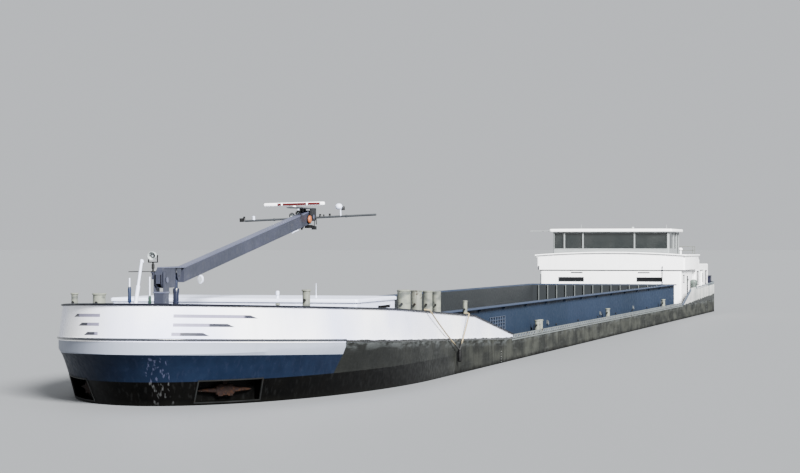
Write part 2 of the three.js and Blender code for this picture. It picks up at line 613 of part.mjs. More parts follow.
place('mast_head', join(headBracket, crossarm, gearbox, horn), 'mast', { group: head });
place('radar_scanner', join(block(-9, 9, -123, 123, 3, 17), rod('z', 8, 0, 6)), 'white',
  { at: [164, 0, GEARBOX_TOP + GAP], group: head });

const strut = new THREE.Vector3(CYLINDER.eye[0] - CYLINDER.foot[0], 0, CYLINDER.eye[2] - CYLINDER.foot[2]);
const strutLean = Math.atan2(strut.x, strut.z);
const cylinderBarrel = join(
  turned([[0, 10], [CYLINDER.barrel, 10], [CYLINDER.barrel, CYLINDER.length], [CYLINDER.bore, CYLINDER.length],
    [CYLINDER.bore, 16], [0, 16]]),
  rod('y', 12, -6, 6, 16),
).subtract(rod('y', CYLINDER.pin + 0.4, -7, 7, 16));
place('mast_cylinder', cylinderBarrel, 'navy', { at: CYLINDER.foot, turn: [0, strutLean, 0] });
const strutLength = strut.length();
const cylinderRod = join(
  rod('z', CYLINDER.rod, -strutLength + CYLINDER.rodStart, 0, 14), rod('y', 11, -6, 6, 14));
place('mast_cylinder_rod', cylinderRod, 'steel', { at: CYLINDER.eye, turn: [0, strutLean, 0] });
const cylinderSeat = join(
  block(-24, 24, -24, 24, -60, -30),
  ...[1, -1].map((side) => block(-12, 12, side > 0 ? 12 : -18, side > 0 ? 18 : -12, -34, 14)),
  rod('y', CYLINDER.pin, -13, 13, 16),
);
place('mast_cylinder_seat', onDeck(cylinderSeat.translate(...CYLINDER.foot)), 'mast');

// Searchlight on the ledge of the starboard cheek, and the jackstaff that leans aft and to port
const cheekTop = MAST.pivotZ + CHEEK.top + GAP;
place('searchlight', join(rod('z', 3, 0, 36, 12), rod('x', 14, -10, 14, 16).translate(0, 0, 46)), 'steel',
  { at: [pivot[0] + 18, -CHEEK.inner - CHEEK.thick - 3, cheekTop] });
const JACKSTAFF = { foot: [station(165), -46, deckAt(station(165)) - 5], top: [station(220), -28, 780], radius: 6 };
const jackstaff = join(bar([JACKSTAFF.foot, JACKSTAFF.top], JACKSTAFF.radius, 12),
  rod('z', 14, 0, 11).translate(...JACKSTAFF.foot));
place('jackstaff', onDeck(jackstaff), 'white');

// Stern deckhouse: lower walls, wider upper band, roof with the well of the wheelhouse
const HOUSE = { aft: 9820, half: 515, lowerTop: 660, wall: 10 };
const BAND = { half: 542, top: 770, aft: 10000, soffit: 8 };
const houseFrontX = station(HOUSE_FRONT);
const lowerWalls = cut(
  block(station(HOUSE.aft), houseFrontX - 2, -HOUSE.half, HOUSE.half, AFT_DECK_Z + GAP, HOUSE.lowerTop),
  block(station(HOUSE.aft) + HOUSE.wall, houseFrontX - 2 - HOUSE.wall, -HOUSE.half + HOUSE.wall,
    HOUSE.half - HOUSE.wall, AFT_DECK_Z - 1, HOUSE.lowerTop + 1),
);
place('deckhouse_walls', lowerWalls, 'white');
const band = cut(
  block(station(BAND.aft), houseFrontX, -BAND.half, BAND.half, HOUSE.lowerTop + GAP, BAND.top),
  block(station(BAND.aft) + HOUSE.wall, houseFrontX - HOUSE.wall, -BAND.half + HOUSE.wall, BAND.half - HOUSE.wall,
    HOUSE.lowerTop + BAND.soffit, BAND.top + 1),
  block(station(HOUSE.aft) + 12, houseFrontX - 14, -HOUSE.half + HOUSE.wall + 2, HOUSE.half - HOUSE.wall - 2,
    HOUSE.lowerTop - 1, HOUSE.lowerTop + BAND.soffit + 1),
);
// A visor along the front, cambered from side to side, on the band's own front wall
const VISOR = { steps: 12, camber: 20, out: 12, back: 18, thick: 8 };
const visorRings = Array.from({ length: VISOR.steps + 1 }, (_, i) => {
  const y = BAND.half * ((2 * i) / VISOR.steps - 1);
  const top = BAND.top + VISOR.camber * (1 - (y / BAND.half) ** 2);
  const under = top - VISOR.thick;
  return [
    [houseFrontX - HOUSE.wall, y, BAND.top - 20], [houseFrontX, y, BAND.top - 20], [houseFrontX, y, under],
    [houseFrontX + VISOR.out, y, under], [houseFrontX + VISOR.out, y, top], [houseFrontX - VISOR.back, y, top],
    [houseFrontX - VISOR.back, y, under], [houseFrontX - HOUSE.wall, y, under],
  ];
});
place('deckhouse_band', join(band, loft(visorRings)), 'white');

const WHEELHOUSE = { fore: 9225, aft: 9775, half: 425, bottom: 722, sill: 814, head: 926, top: 936, wall: 8 };
const WELL = 8;
const roofPlate = cut(
  block(station(BAND.aft) + HOUSE.wall + GAP, houseFrontX - HOUSE.wall - GAP, -BAND.half + HOUSE.wall + GAP,
    BAND.half - HOUSE.wall - GAP, BAND.top - 18, BAND.top - 9),
  block(station(WHEELHOUSE.aft) - WELL, station(WHEELHOUSE.fore) + WELL, -WHEELHOUSE.half - WELL,
    WHEELHOUSE.half + WELL, BAND.top - 19, BAND.top),
);
const roofCurb = block(station(BAND.aft) + HOUSE.wall + GAP, houseFrontX - HOUSE.wall - GAP,
  -BAND.half + HOUSE.wall + GAP, -BAND.half + HOUSE.wall + 8, HOUSE.lowerTop + BAND.soffit + GAP, BAND.top - 17);
const roofCurbPort = block(station(BAND.aft) + HOUSE.wall + GAP, houseFrontX - HOUSE.wall - GAP,
  BAND.half - HOUSE.wall - 8, BAND.half - HOUSE.wall - GAP, HOUSE.lowerTop + BAND.soffit + GAP, BAND.top - 17);
place('deckhouse_roof', join(roofPlate, roofCurb, roofCurbPort), 'deck');

// Wheelhouse: a box with its windows cut, on a column that slides in a guide
const wheel = new THREE.Group();
barge.add(wheel);
const whFore = station(WHEELHOUSE.fore);
const whAft = station(WHEELHOUSE.aft);
const FRONT_PANES = [[-414, -345], [-335, -208], [-198, 169], [179, 410]];
const SIDE_PANES = [[0.04, 0.46], [0.5, 0.92]];
const DOORWAY = { x0: whAft + 20, x1: whAft + 110 };
const wheelhouseWalls = cut(
  block(whAft, whFore, -WHEELHOUSE.half, WHEELHOUSE.half, WHEELHOUSE.bottom, WHEELHOUSE.top),
  block(whAft + WHEELHOUSE.wall, whFore - WHEELHOUSE.wall, -WHEELHOUSE.half + WHEELHOUSE.wall,
    WHEELHOUSE.half - WHEELHOUSE.wall, WHEELHOUSE.bottom + 10, WHEELHOUSE.top + 1),
  ...FRONT_PANES.map(([y0, y1]) => block(whFore - 20, whFore + 1, y0, y1, WHEELHOUSE.sill, WHEELHOUSE.head)),
  ...FRONT_PANES.map(([y0, y1]) => block(whAft - 1, whAft + 20, y0, y1, WHEELHOUSE.sill, WHEELHOUSE.head)),
  ...[1, -1].flatMap((side) => [[whFore - 250, whFore - 20], [whAft + 140, whFore - 262]].map(([x0, x1]) => block(
    x0, x1, side > 0 ? WHEELHOUSE.half - 20 : -WHEELHOUSE.half - 1,
    side > 0 ? WHEELHOUSE.half + 1 : -WHEELHOUSE.half + 20, WHEELHOUSE.sill, WHEELHOUSE.head))),
  block(DOORWAY.x0, DOORWAY.x1, WHEELHOUSE.half - 20, WHEELHOUSE.half + 1, WHEELHOUSE.bottom + 16, WHEELHOUSE.head),
);
const DOOR_RAIL = { z: 930 + GAP, inner: 398, reach: 100 };
const doorRail = block(DOORWAY.x0 - 6, DOORWAY.x1 + DOOR_RAIL.reach, DOOR_RAIL.inner, WHEELHOUSE.half - 4,
  DOOR_RAIL.z, WHEELHOUSE.top);
place('wheelhouse_walls', join(wheelhouseWalls, doorRail), 'white', { group: wheel });
place('wheelhouse_roof', block(whAft - 30, whFore + 22, -WHEELHOUSE.half - 24, WHEELHOUSE.half + 24,
  WHEELHOUSE.top + GAP, 960), 'white', { group: wheel });
place('wheelhouse_door', block(DOORWAY.x0 - 4, DOORWAY.x1 + 4, DOOR_RAIL.inner + 2, DOOR_RAIL.inner + 8,
  WHEELHOUSE.bottom + 15, DOOR_RAIL.z - GAP), 'white', { group: wheel });
place('lift_column', block(-30, 30, -30, 30, 0, 281), 'steel', { at: [-3790, 0, 441 - GAP], group: wheel });
const LIFT = { half: 30, guideTop: 700 };
const guide = cut(
  block(-43, 43, -43, 43, AFT_DECK_Z + GAP, LIFT.guideTop),
  block(-35, 35, -35, 35, AFT_DECK_Z + 8, LIFT.guideTop - 12),
  block(-LIFT.half - 0.4, LIFT.half + 0.4, -LIFT.half - 0.4, LIFT.half + 0.4, AFT_DECK_Z + 8, LIFT.guideTop + 1),
);
place('lift_guide', guide, 'steel', { at: [-3790, 0, 0] });
const GLASS = { thick: 4, lap: 6, inset: WHEELHOUSE.wall + GAP };
const glassBox = (inset, lap) => block(whAft + inset, whFore - inset, -WHEELHOUSE.half + inset,
  WHEELHOUSE.half - inset, WHEELHOUSE.sill - lap, WHEELHOUSE.head + lap - 2);
const glassBand = cut(
  glassBox(GLASS.inset, GLASS.lap),
  glassBox(GLASS.inset + GLASS.thick, GLASS.lap + 1),
  block(DOORWAY.x0 - 6, DOORWAY.x1 + 6, WHEELHOUSE.half - 40, WHEELHOUSE.half, WHEELHOUSE.bottom, WHEELHOUSE.top + 100),
);
place('wheelhouse_glass', glassBand, 'glass', { group: wheel });
place('steering_console', join(block(-30, 30, -140, 140, GAP, 78), block(-12, 30, -140, 140, 70, 92)), 'black',
  { at: [whFore - 110, 0, WHEELHOUSE.bottom + 10], group: wheel });
place('helm_chair', join(rod('z', 9, GAP, 40, 12), block(-26, 26, -26, 26, 36, 52), block(-26, -16, -24, 24, 50, 118)),
  'black', { at: [whFore - 220, 0, WHEELHOUSE.bottom + 10], group: wheel });

// Aft cabin, lower than the deckhouse, with a door each side
const CABIN = { fore: 10010, step: 10250, aft: 10800, half: 515, top: 735, lowTop: 695, wall: 10 };
const DOOR = { aft0: 10370, aft1: 10450, bottom: AFT_DECK_Z + 14, top: 640 };
const cabinShape = [
  [station(CABIN.fore), AFT_DECK_Z + GAP], [station(CABIN.fore), CABIN.top], [station(CABIN.step), CABIN.top],
  [station(CABIN.step), CABIN.lowTop], [station(CABIN.aft), CABIN.lowTop], [station(CABIN.aft), AFT_DECK_Z + GAP],
];
const cabinHollow = [
  [station(CABIN.fore) - 10, AFT_DECK_Z - 1], [station(CABIN.fore) - 10, CABIN.top - 10],
  [station(CABIN.step) + 10, CABIN.top - 10], [station(CABIN.step) + 10, CABIN.lowTop - 10],
  [station(CABIN.aft) + 10, CABIN.lowTop - 10], [station(CABIN.aft) + 10, AFT_DECK_Z - 1],
];
const aftCabin = cut(
  acrossShip(cabinShape, -CABIN.half, CABIN.half),
  acrossShip(cabinHollow, -CABIN.half + CABIN.wall, CABIN.half - CABIN.wall),
  ...[1, -1].map((side) => block(station(DOOR.aft1), station(DOOR.aft0), side > 0 ? CABIN.half - 12 : -CABIN.half - 1,
    side > 0 ? CABIN.half + 1 : -CABIN.half + 12, DOOR.bottom, DOOR.top)),
);
// Each door slides forward along the wall, hung from a rail over it
const LEAF = { lap: 4, thick: 6, play: 0.5 };
const SLIDE_RAIL = { rise: 6, reach: 84 };
const leafTop = DOOR.top + LEAF.lap;
const slideRails = [1, -1].map((side) => {
  const [near, far] = [CABIN.half - 1, CABIN.half + LEAF.play + LEAF.thick];
  return block(station(DOOR.aft1) - LEAF.lap, station(DOOR.aft0) + SLIDE_RAIL.reach, side > 0 ? near : -far,
    side > 0 ? far : -near, leafTop + GAP, leafTop + SLIDE_RAIL.rise);
});
place('aft_cabin', join(aftCabin, ...slideRails), 'white');
for (const [name, side] of [['cabin_door_port', 1], ['cabin_door_starboard', -1]]) {
  const [near, far] = [CABIN.half + LEAF.play, CABIN.half + LEAF.play + LEAF.thick];
  place(name, block(station(DOOR.aft1) - LEAF.lap, station(DOOR.aft0) + LEAF.lap, side > 0 ? near : -far,
    side > 0 ? far : -near, DOOR.bottom - LEAF.lap, leafTop), 'white');
}

// Stern bulwark, vent on the side deck, stern winch and anchor
const sternPath = [[station(STERN_BULWARK_START), HALF_BEAM], [station(STERN_BULWARK_FULL), HALF_BEAM],
  ...sternOutline(AFT_DECK_Z, 0, 9600), [station(STERN_BULWARK_FULL), -HALF_BEAM],
  [station(STERN_BULWARK_START), -HALF_BEAM]];
const sternBulwarkTop = (x) => {
  const rise = THREE.MathUtils.clamp(
    (station(STERN_BULWARK_START) - x) / (STERN_BULWARK_FULL - STERN_BULWARK_START), 0, 1);
  const sheer = THREE.MathUtils.clamp((station(STERN_BULWARK_FULL) - x) / (station(STERN_BULWARK_FULL) - STERN_X), 0, 1);
  return AFT_DECK_Z + 10 + rise * (STERN_BULWARK_Z - AFT_DECK_Z - 10) + sheer * (STERN_END_BULWARK_Z - STERN_BULWARK_Z);
};
const sternBulwark = wallAlong(sternPath, (x) => [
  [0, AFT_DECK_Z + GAP], [0, sternBulwarkTop(x)], [-PLATE, sternBulwarkTop(x)], [-PLATE, AFT_DECK_Z + GAP],
]);
place('bulwark_stern', sternBulwark, 'white');
place('side_vent', turned([[0, GAP], [22, GAP], [22, 160], [18, 168], [0, 168]]), 'post',
  { at: [station(9700), 540, AFT_DECK_Z] });
place('stern_winch', join(block(-40, 40, -90, 90, GAP, 12), rod('y', 26, -70, 70, 20).translate(0, 0, 44),
  ...[-74, 74].map((y) => block(-16, 16, y - 6, y + 6, 8, 74))), 'navy', { at: [station(10880), 0, AFT_DECK_Z] });

// Fender on two lines, hung over each side from the bulwark's cap
const FENDER = { aft: 2030, topZ: 415, bottomZ: 368, radius: 8, lineAft: [1592, 2250], line: 1.8 };
for (const [name, side] of [['port', 1], ['starboard', -1]]) {
  const y = side * (HALF_BEAM + RUB + 0.5 + FENDER.radius);
  const bag = turned([[0, 0], [6, 0], [8, 5], [8, 42], [5, 47.5], [0, 47.5]], 14)
    .translate(station(FENDER.aft), y, FENDER.bottomZ);
  const knot = [station(FENDER.aft), y, FENDER.topZ];
  const edge = HALF_BEAM - TUMBLEHOME + CAP.half;
  const lines = FENDER.lineAft.map((aft) => {
    const lineZ = capAt(station(aft)) + GAP + FENDER.line;
    return bar([[station(aft), side * (edge - 12), lineZ], [station(aft), side * (edge + 8), lineZ], knot], FENDER.line);
  });
  place(`fender_${name}`, join(bag, ...lines), 'black');
}

export default barge;
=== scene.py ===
# A river barge at 1:10, afloat. Metres, +X to the bow, +Y to port, +Z up, bottom at 0 and waterline at 0.32.

import math
import random

import bmesh
import bpy
from mathutils import Matrix, Vector


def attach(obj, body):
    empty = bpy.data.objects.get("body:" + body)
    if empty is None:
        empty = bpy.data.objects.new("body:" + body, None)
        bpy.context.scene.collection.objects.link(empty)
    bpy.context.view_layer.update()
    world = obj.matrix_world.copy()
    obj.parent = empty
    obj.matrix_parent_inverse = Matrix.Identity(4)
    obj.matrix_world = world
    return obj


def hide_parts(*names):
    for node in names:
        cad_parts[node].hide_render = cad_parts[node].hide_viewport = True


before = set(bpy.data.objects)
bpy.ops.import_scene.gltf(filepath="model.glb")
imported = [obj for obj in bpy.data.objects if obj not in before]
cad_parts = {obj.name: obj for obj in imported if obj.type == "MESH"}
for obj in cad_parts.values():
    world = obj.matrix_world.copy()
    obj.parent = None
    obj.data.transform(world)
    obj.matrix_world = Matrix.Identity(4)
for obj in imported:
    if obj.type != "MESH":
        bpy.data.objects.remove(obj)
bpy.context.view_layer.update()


# Camera: a long lens low over the water, off the port bow. It looks aft and to starboard along the ship, and
# tips up by a third of a degree, so that the horizon lies a little over the middle of the picture.
VIEW_YAW = math.radians(14.97)
VIEW_PITCH = math.radians(0.306)
lens = bpy.data.cameras.new("ship_camera")
lens.lens = 96.75
lens.sensor_width = 36
lens.clip_end = 2000
camera = bpy.data.objects.new("ship_camera", lens)
camera.location = (11.730, 2.552, 0.818)
view_axis = Vector((-math.cos(VIEW_YAW) * math.cos(VIEW_PITCH), -math.sin(VIEW_YAW) * math.cos(VIEW_PITCH),
                    math.sin(VIEW_PITCH)))
camera.rotation_mode = "QUATERNION"
camera.rotation_quaternion = view_axis.to_track_quat("-Z", "Y")
bpy.context.scene.collection.objects.link(camera)
bpy.context.scene.camera = camera


# Hull plating, bow: welded steel plates, painted in bands. In plan it is half an ellipse, which draws back
# and grows longer under the knuckle, and its deck falls aft in a straight line. The anchor pockets are cut
# into it.
BOW_X = 5.495
WATERLINE = 0.32
HALF_BEAM = 0.5725
BILGE = 0.05
KNUCKLE_Z = 0.486
FOREDECK_Z = 0.525
GANGWAY_Z = 0.417
SHEER_END = 3.0
SHEER = (FOREDECK_Z - GANGWAY_Z) / SHEER_END
BOOT_TOP_Z = 0.397
HOLD_FORE = 2.0
GAP = 0.0003
STEM_RAKE = 0.215
BOW_LONG = 1.4


def station(aft_of_bow):
    """X of a place, from its distance aft of the stem."""
    return BOW_X - aft_of_bow


def deck_at(x):
    """Height of the deck, which falls aft from the bow and is level along the hold."""
    return GANGWAY_Z + SHEER * max(0.0, x - station(SHEER_END))


def half_breadth(z):
    """Half the hull's breadth at a height, with the round of the bilge."""
    if z >= BILGE:
        return HALF_BEAM
    return HALF_BEAM - BILGE + math.sqrt(max(0, BILGE ** 2 - (BILGE - z) ** 2))


def bow_point(z, angle, inset=0.0):
    """A point of the bow at a height. The angle runs from 0 at the stem to a quarter turn at the sides."""
    depth = max(0.0, (KNUCKLE_Z - z) / KNUCKLE_Z)
    setback = STEM_RAKE * depth ** 0.75
    run = min(BOW_LONG + 1.6 * setback, HOLD_FORE - 0.04 - setback) - inset
    return (BOW_X - setback - inset - run * (1 - math.cos(angle)),
            (half_breadth(z) - inset) * math.sin(angle), z)


def bow_ring(height_at, inset=0.0, aft=HOLD_FORE - GAP, steps=128):
    """The bow's outline from starboard to port. Its height is a function of X."""
    ring = []
    for i in range(steps + 1):
        angle = math.pi * (i / steps - 0.5)
        ring.append(bow_point(height_at(bow_point(KNUCKLE_Z, angle)[0]), angle, inset))
    end = station(aft)
    half = half_breadth(height_at(end)) - inset
    return [(end, -half, height_at(end))] + ring + [(end, half, height_at(end))]


DAYLIGHT = 7.0


def rgb(red, green, blue):
    """The reflectance of a paint, from the colour that it shows under this scene's lamps and film curve."""
    shown = [min(value, 250) / 255 for value in (red, green, blue)]
    return tuple(min(0.88, max(0.84, 0.45 / (1 - c) ** 0.855) * c ** 2.2 / DAYLIGHT) for c in shown) + (1.0,)


def node(tree, kind, inputs=None, **settings):
    """A shader node. An input is a plain value or the socket that feeds it."""
    made = tree.nodes.new("ShaderNode" + kind)
    for name, value in settings.items():
        setattr(made, name, value)
    for name, value in (inputs or {}).items():
        if isinstance(value, bpy.types.NodeSocket):
            tree.links.new(value, made.inputs[name])
        else:
            made.inputs[name].default_value = value
    return made


def maths(tree, operation, a, b=0.0, c=0.0):
    """The result of a sum, whose terms are plain values or sockets."""
    return node(tree, "Math", {0: a, 1: b, 2: c}, operation=operation).outputs[0]


def mixed(tree, share, a, b, blend="MIX"):
    """Two colours, mixed by a share."""
    made = node(tree, "Mix", data_type="RGBA", blend_type=blend)
    for index, value in ((0, share), (6, a), (7, b)):
        if isinstance(value, bpy.types.NodeSocket):
            tree.links.new(value, made.inputs[index])
        else:
            made.inputs[index].default_value = value
    return made.outputs[2]


def noise(tree, coords, scale, detail=3.0, stretch=(1, 1, 1), offset=(0, 0, 0)):
    """A noise of about a half, drawn out along the axes whose stretch is small."""
    placed = node(tree, "Mapping", {"Vector": coords, "Scale": stretch, "Location": offset}).outputs[0]
    return node(tree, "TexNoise", {"Vector": placed, "Scale": scale, "Detail": detail}).outputs[0]


def span(tree, value, low, high, to_low=0.0, to_high=1.0):
    """A value carried from one range to another, and held at its ends."""
    return node(tree, "MapRange", {0: value, 1: low, 2: high, 3: to_low, 4: to_high}, clamp=True).outputs[0]


def over(tree, value, limit):
    """A mask of 1 where the value is over a limit."""
    return maths(tree, "GREATER_THAN", value, limit)


def within(tree, value, centre, reach):
    """A mask of 1 where the value is near a centre."""
    return maths(tree, "LESS_THAN", maths(tree, "ABSOLUTE", maths(tree, "SUBTRACT", value, centre)), reach)


def both(tree, *masks):
    """A mask of 1 where all the masks are."""
    shared = masks[0]
    for mask in masks[1:]:
        shared = maths(tree, "MULTIPLY", shared, mask)
    return shared


def over_deck(tree, x, z):
    """Height over the line of the deck, which falls aft from the bow."""
    fall = maths(tree, "MAXIMUM", maths(tree, "SUBTRACT", x, station(SHEER_END)))
    return maths(tree, "SUBTRACT", z, maths(tree, "MULTIPLY_ADD", fall, SHEER, GANGWAY_Z))


STAIN = (70, 62, 52)


def new_material(name):
    """A material, with its tree, its shader and the piece's own coordinates."""
    material = bpy.data.materials.new(name)
    material.use_nodes = True
    tree = material.node_tree
    return material, tree, tree.nodes["Principled BSDF"], node(tree, "TexCoord").outputs["Object"]


def finish(name, colour, roughness=0.45, metallic=0.0, mottle=0.12, grime=0.2, streaks=0.15, rust=0.0,
           coat=0.0, grain=0.15, scale=1.0, bands=None, shine=0.3):
    """A painted or bare finish with mottling, grime, run-down streaks, rust spots and a fine bump."""
    material, tree, shader, coords = new_material(name)
    material.diffuse_color = rgb(*colour)
    base = bands(tree, coords) if bands else rgb(*colour)
    broad = noise(tree, coords, 3.5 * scale, 4.0)
    fine = noise(tree, coords, 60 * scale, offset=(3.1, 1.7, 0.4))
    darker = mixed(tree, 1.0, base, (1 - mottle,) * 3 + (1,), "MULTIPLY")
    lighter = mixed(tree, 1.0, base, (1 + mottle * 0.6,) * 3 + (1,), "MULTIPLY")
    colour_now = mixed(tree, span(tree, broad, 0.35, 0.68), darker, lighter)
    patches = noise(tree, coords, 14 * scale, 6.0, offset=(7, 2, 5))
    dirt = maths(tree, "MULTIPLY", span(tree, patches, 0.5, 0.78), grime)
    colour_now = mixed(tree, dirt, colour_now, rgb(*STAIN))
    runs = span(tree, noise(tree, coords, 9 * scale, 4.0, (3.2, 3.2, 0.22), (1, 9, 4)), 0.54, 0.76)
    colour_now = mixed(tree, maths(tree, "MULTIPLY", runs, streaks), colour_now, rgb(*STAIN))
    rough = span(tree, fine, 0.3, 0.7, max(0.03, roughness - 0.07), min(1.0, roughness + 0.1))
    rough = maths(tree, "ADD", rough, maths(tree, "MULTIPLY", dirt, 0.5))
    if rust:
        spots = noise(tree, coords, 34 * scale, 5.0, offset=(2, 5, 8))
        clumps = noise(tree, coords, 5 * scale, 2.0, offset=(8, 1, 3))
        worn = span(tree, maths(tree, "MULTIPLY_ADD", clumps, 0.6, spots), 1.02 - rust * 0.3,
                    1.08 - rust * 0.3)
        rusty = mixed(tree, fine, rgb(66, 42, 32), rgb(112, 76, 54))
        colour_now = mixed(tree, worn, colour_now, rusty)
        rough = maths(tree, "MAXIMUM", rough, maths(tree, "MULTIPLY", worn, 0.85))
    tree.links.new(colour_now, shader.inputs["Base Color"])
    tree.links.new(rough, shader.inputs["Roughness"])
    shader.inputs["Metallic"].default_value = metallic
    shader.inputs["Specular IOR Level"].default_value = shine
    shader.inputs["Coat Weight"].default_value = coat
    shader.inputs["Coat Roughness"].default_value = 0.12
    height = maths(tree, "MULTIPLY_ADD", broad, 0.6, fine)
    bump = node(tree, "Bump", {"Height": height, "Strength": grain, "Distance": 0.002})
    tree.links.new(bump.outputs[0], shader.inputs["Normal"])
    return material


PAINT_END = 4.769
SILVER_FOOT = -0.039


def hull_bands(tree, coords):
    """Black below, blue and silver bands round the bow, and bare weathered plating aft of them."""
    x, y, z = node(tree, "SeparateXYZ", {0: coords}).outputs
    wavy = noise(tree, coords, 26, 5.0)
    above_boot = over(tree, z, BOOT_TOP_Z)
    height = over_deck(tree, x, z)
    in_silver = over(tree, height, SILVER_FOOT)
    slant = maths(tree, "MULTIPLY_ADD", maths(tree, "MAXIMUM", maths(tree, "SUBTRACT", SILVER_FOOT, height)),
                  0.5, PAINT_END)
    fresh = maths(tree, "GREATER_THAN", x, slant)
    patches = noise(tree, coords, 5.5, 6.0, (1, 1, 2.5), (4, 4, 1))
    weathered = mixed(tree, span(tree, patches, 0.4, 0.62), rgb(94, 97, 93), rgb(138, 140, 133))
    drips = span(tree, noise(tree, coords, 24, 3.0, (2.4, 2.4, 0.16), (3, 3, 3)), 0.5, 0.66)
    weathered = mixed(tree, maths(tree, "MULTIPLY", drips, 0.55), weathered, rgb(50, 52, 54))
    scrapes = span(tree, noise(tree, coords, 30, 4.0, (0.18, 0.18, 4.5), (1, 6, 2)), 0.6, 0.68)
    weathered = mixed(tree, maths(tree, "MULTIPLY", scrapes, 0.5), weathered, rgb(150, 152, 150))
    darker_bow = span(tree, x, station(3.4), station(1.3), 0.0, 0.85)
    weathered = mixed(tree, darker_bow, weathered, rgb(62, 64, 62))
    worn_edge = noise(tree, coords, 12, 5.0, (1, 1, 4), (5, 5, 5))
    worn_edge = both(tree, span(tree, height, -0.03, -0.004), span(tree, worn_edge, 0.46, 0.6))
    weathered = mixed(tree, maths(tree, "MULTIPLY", worn_edge, 0.6), weathered, rgb(168, 172, 172))
    blue = mixed(tree, span(tree, wavy, 0.3, 0.7), rgb(44, 62, 95), rgb(54, 74, 109))
    scuff_place = both(tree, within(tree, y, 0.082, 0.034), over(tree, x, station(0.5)))
    scuffed = span(tree, noise(tree, coords, 62, 5.0, (1.5, 1.5, 0.4), (9, 2, 2)), 0.565, 0.635)
    scuffed = maths(tree, "MULTIPLY", scuffed, maths(tree, "MULTIPLY_ADD", scuff_place, 0.46, 0.04))
    blue = mixed(tree, scuffed, blue, rgb(158, 160, 182))
    painted = mixed(tree, in_silver, blue, rgb(212, 215, 221))
    sides = mixed(tree, fresh, weathered, painted)
    black = mixed(tree, span(tree, wavy, 0.35, 0.7), rgb(12, 12, 12), rgb(26, 25, 23))
    black = mixed(tree, maths(tree, "MULTIPLY", scuffed, 0.8), black, rgb(170, 172, 172))
    boot = mixed(tree, span(tree, x, station(2.3), station(1.1)), weathered, black)
    colour_now = mixed(tree, above_boot, boot, sides)
    wet = span(tree, maths(tree, "MULTIPLY_ADD", wavy, 0.03, z), WATERLINE + 0.016, WATERLINE + 0.034)
    colour_now = mixed(tree, wet, rgb(34, 34, 31), colour_now)
    below = over(tree, z, WATERLINE)
    fouling = mixed(tree, span(tree, patches, 0.35, 0.65), rgb(60, 40, 34), rgb(82, 76, 58))
    return mixed(tree, below, fouling, colour_now)


def deck_bands(tree, coords):
    """Grey-blue deck paint, trodden paler in the middle of the walk and darker where water stands."""
    walked = span(tree, noise(tree, coords, 7, 5.0, (0.4, 1.4, 1)), 0.38, 0.66)
    base = mixed(tree, walked, rgb(122, 136, 156), rgb(160, 172, 190))
    spots = span(tree, noise(tree, coords, 44, 4.0), 0.62, 0.7)
    return mixed(tree, maths(tree, "MULTIPLY", spots, 0.5), base, rgb(92, 82, 74))


hull_paint = finish("hull_paint", (60, 64, 68), 0.4, mottle=0.08, grime=0.04, streaks=0.03,
                    bands=hull_bands, shine=0.05)
side_paint = finish("side_paint", (90, 94, 92), 0.7, mottle=0.1, grime=0.15, streaks=0.1, bands=hull_bands,
                    grain=0.3, shine=0.06)
deck_paint = finish("deck_paint", (140, 154, 172), 0.6, mottle=0.1, grime=0.25, streaks=0.0, rust=0.25,
                    grain=0.4, bands=deck_bands, shine=0.15)


def loft(bm, rings, paint=0, ends=True):
    """Faces between rings that all have the same number of points."""
    loops = [[bm.verts.new(point) for point in ring] for ring in rings]
    count = len(rings[0])
    faces = []
    for low, high in zip(loops, loops[1:]):
        for i in range(count):
            j = (i + 1) % count
            faces.append(bm.faces.new((low[i], low[j], high[j], high[i])))
    if ends:
        faces += [bm.faces.new(loops[0][::-1]), bm.faces.new(loops[-1])]
    for face in faces:
        face.material_index = paint
    return faces


def block(bm, x, y, z, paint=0):
    """A box between pairs of limits."""
    corners = ((0, 0), (1, 0), (1, 1), (0, 1))
    return loft(bm, [[(x[i], y[j], level) for i, j in corners] for level in z], paint)


def in_scene(name, bm):
    """The mesh as an object of the scene, with its faces turned outwards."""
    bmesh.ops.recalc_face_normals(bm, faces=bm.faces)
    mesh = bpy.data.meshes.new(name)
    bm.to_mesh(mesh)
    bm.free()
    made = bpy.data.objects.new(name, mesh)
    bpy.context.scene.collection.objects.link(made)
    return made


def shaded(mesh, sharp):
    """Smooth faces, with the edges sharp that turn by more than so many degrees."""
    mesh.shade_smooth()
    mesh.set_sharp_from_angle(angle=math.radians(sharp))


def piece(name, bm, materials, body, nodes=(), smooth=35, bevel=0.0):
    """Makes the mesh an object in its place, rides it on its body and hides the nodes that it stands for."""
    made = in_scene(name, bm)
    for material in materials if isinstance(materials, (list, tuple)) else [materials]:
        made.data.materials.append(material)
    shaded(made.data, smooth)
    if bevel:
        edge = made.modifiers.new("edges", "BEVEL")
        edge.width = bevel
        edge.segments = 2
        edge.limit_method = "ANGLE"
        edge.angle_limit = math.radians(40)
        edge.harden_normals = True
    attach(made, body)
    if nodes:
        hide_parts(*nodes)
    return made


def levels(low, high, step, extra=()):
    """Even steps between two values, of about the length that is asked for."""
    count = max(1, round((high - low) / step))
    return sorted({round(low + (high - low) * i / count, 6) for i in range(count + 1)} | set(extra))


def settle(made, modifier):
    """Runs a modifier for good and leaves a plain mesh."""
    bpy.context.view_layer.update()
    result = bpy.data.meshes.new_from_object(made.evaluated_get(bpy.context.evaluated_depsgraph_get()))
    made.modifiers.remove(modifier)
    made.data = result


def cut_away(target, bm):
    """Takes a closed shape out of a piece."""
    cutter = in_scene("cutter", bm)
    cut = target.modifiers.new("cut", "BOOLEAN")
    cut.object = cutter
    cut.solver = "EXACT"
    settle(target, cut)
    bpy.data.objects.remove(cutter)
    shaded(target.data, 30)


POCKET = {"aft": 0.254, "y": 0.25, "turn": 0.689, "half": 0.122, "depth": 0.04, "z": (0.33, 0.397)}


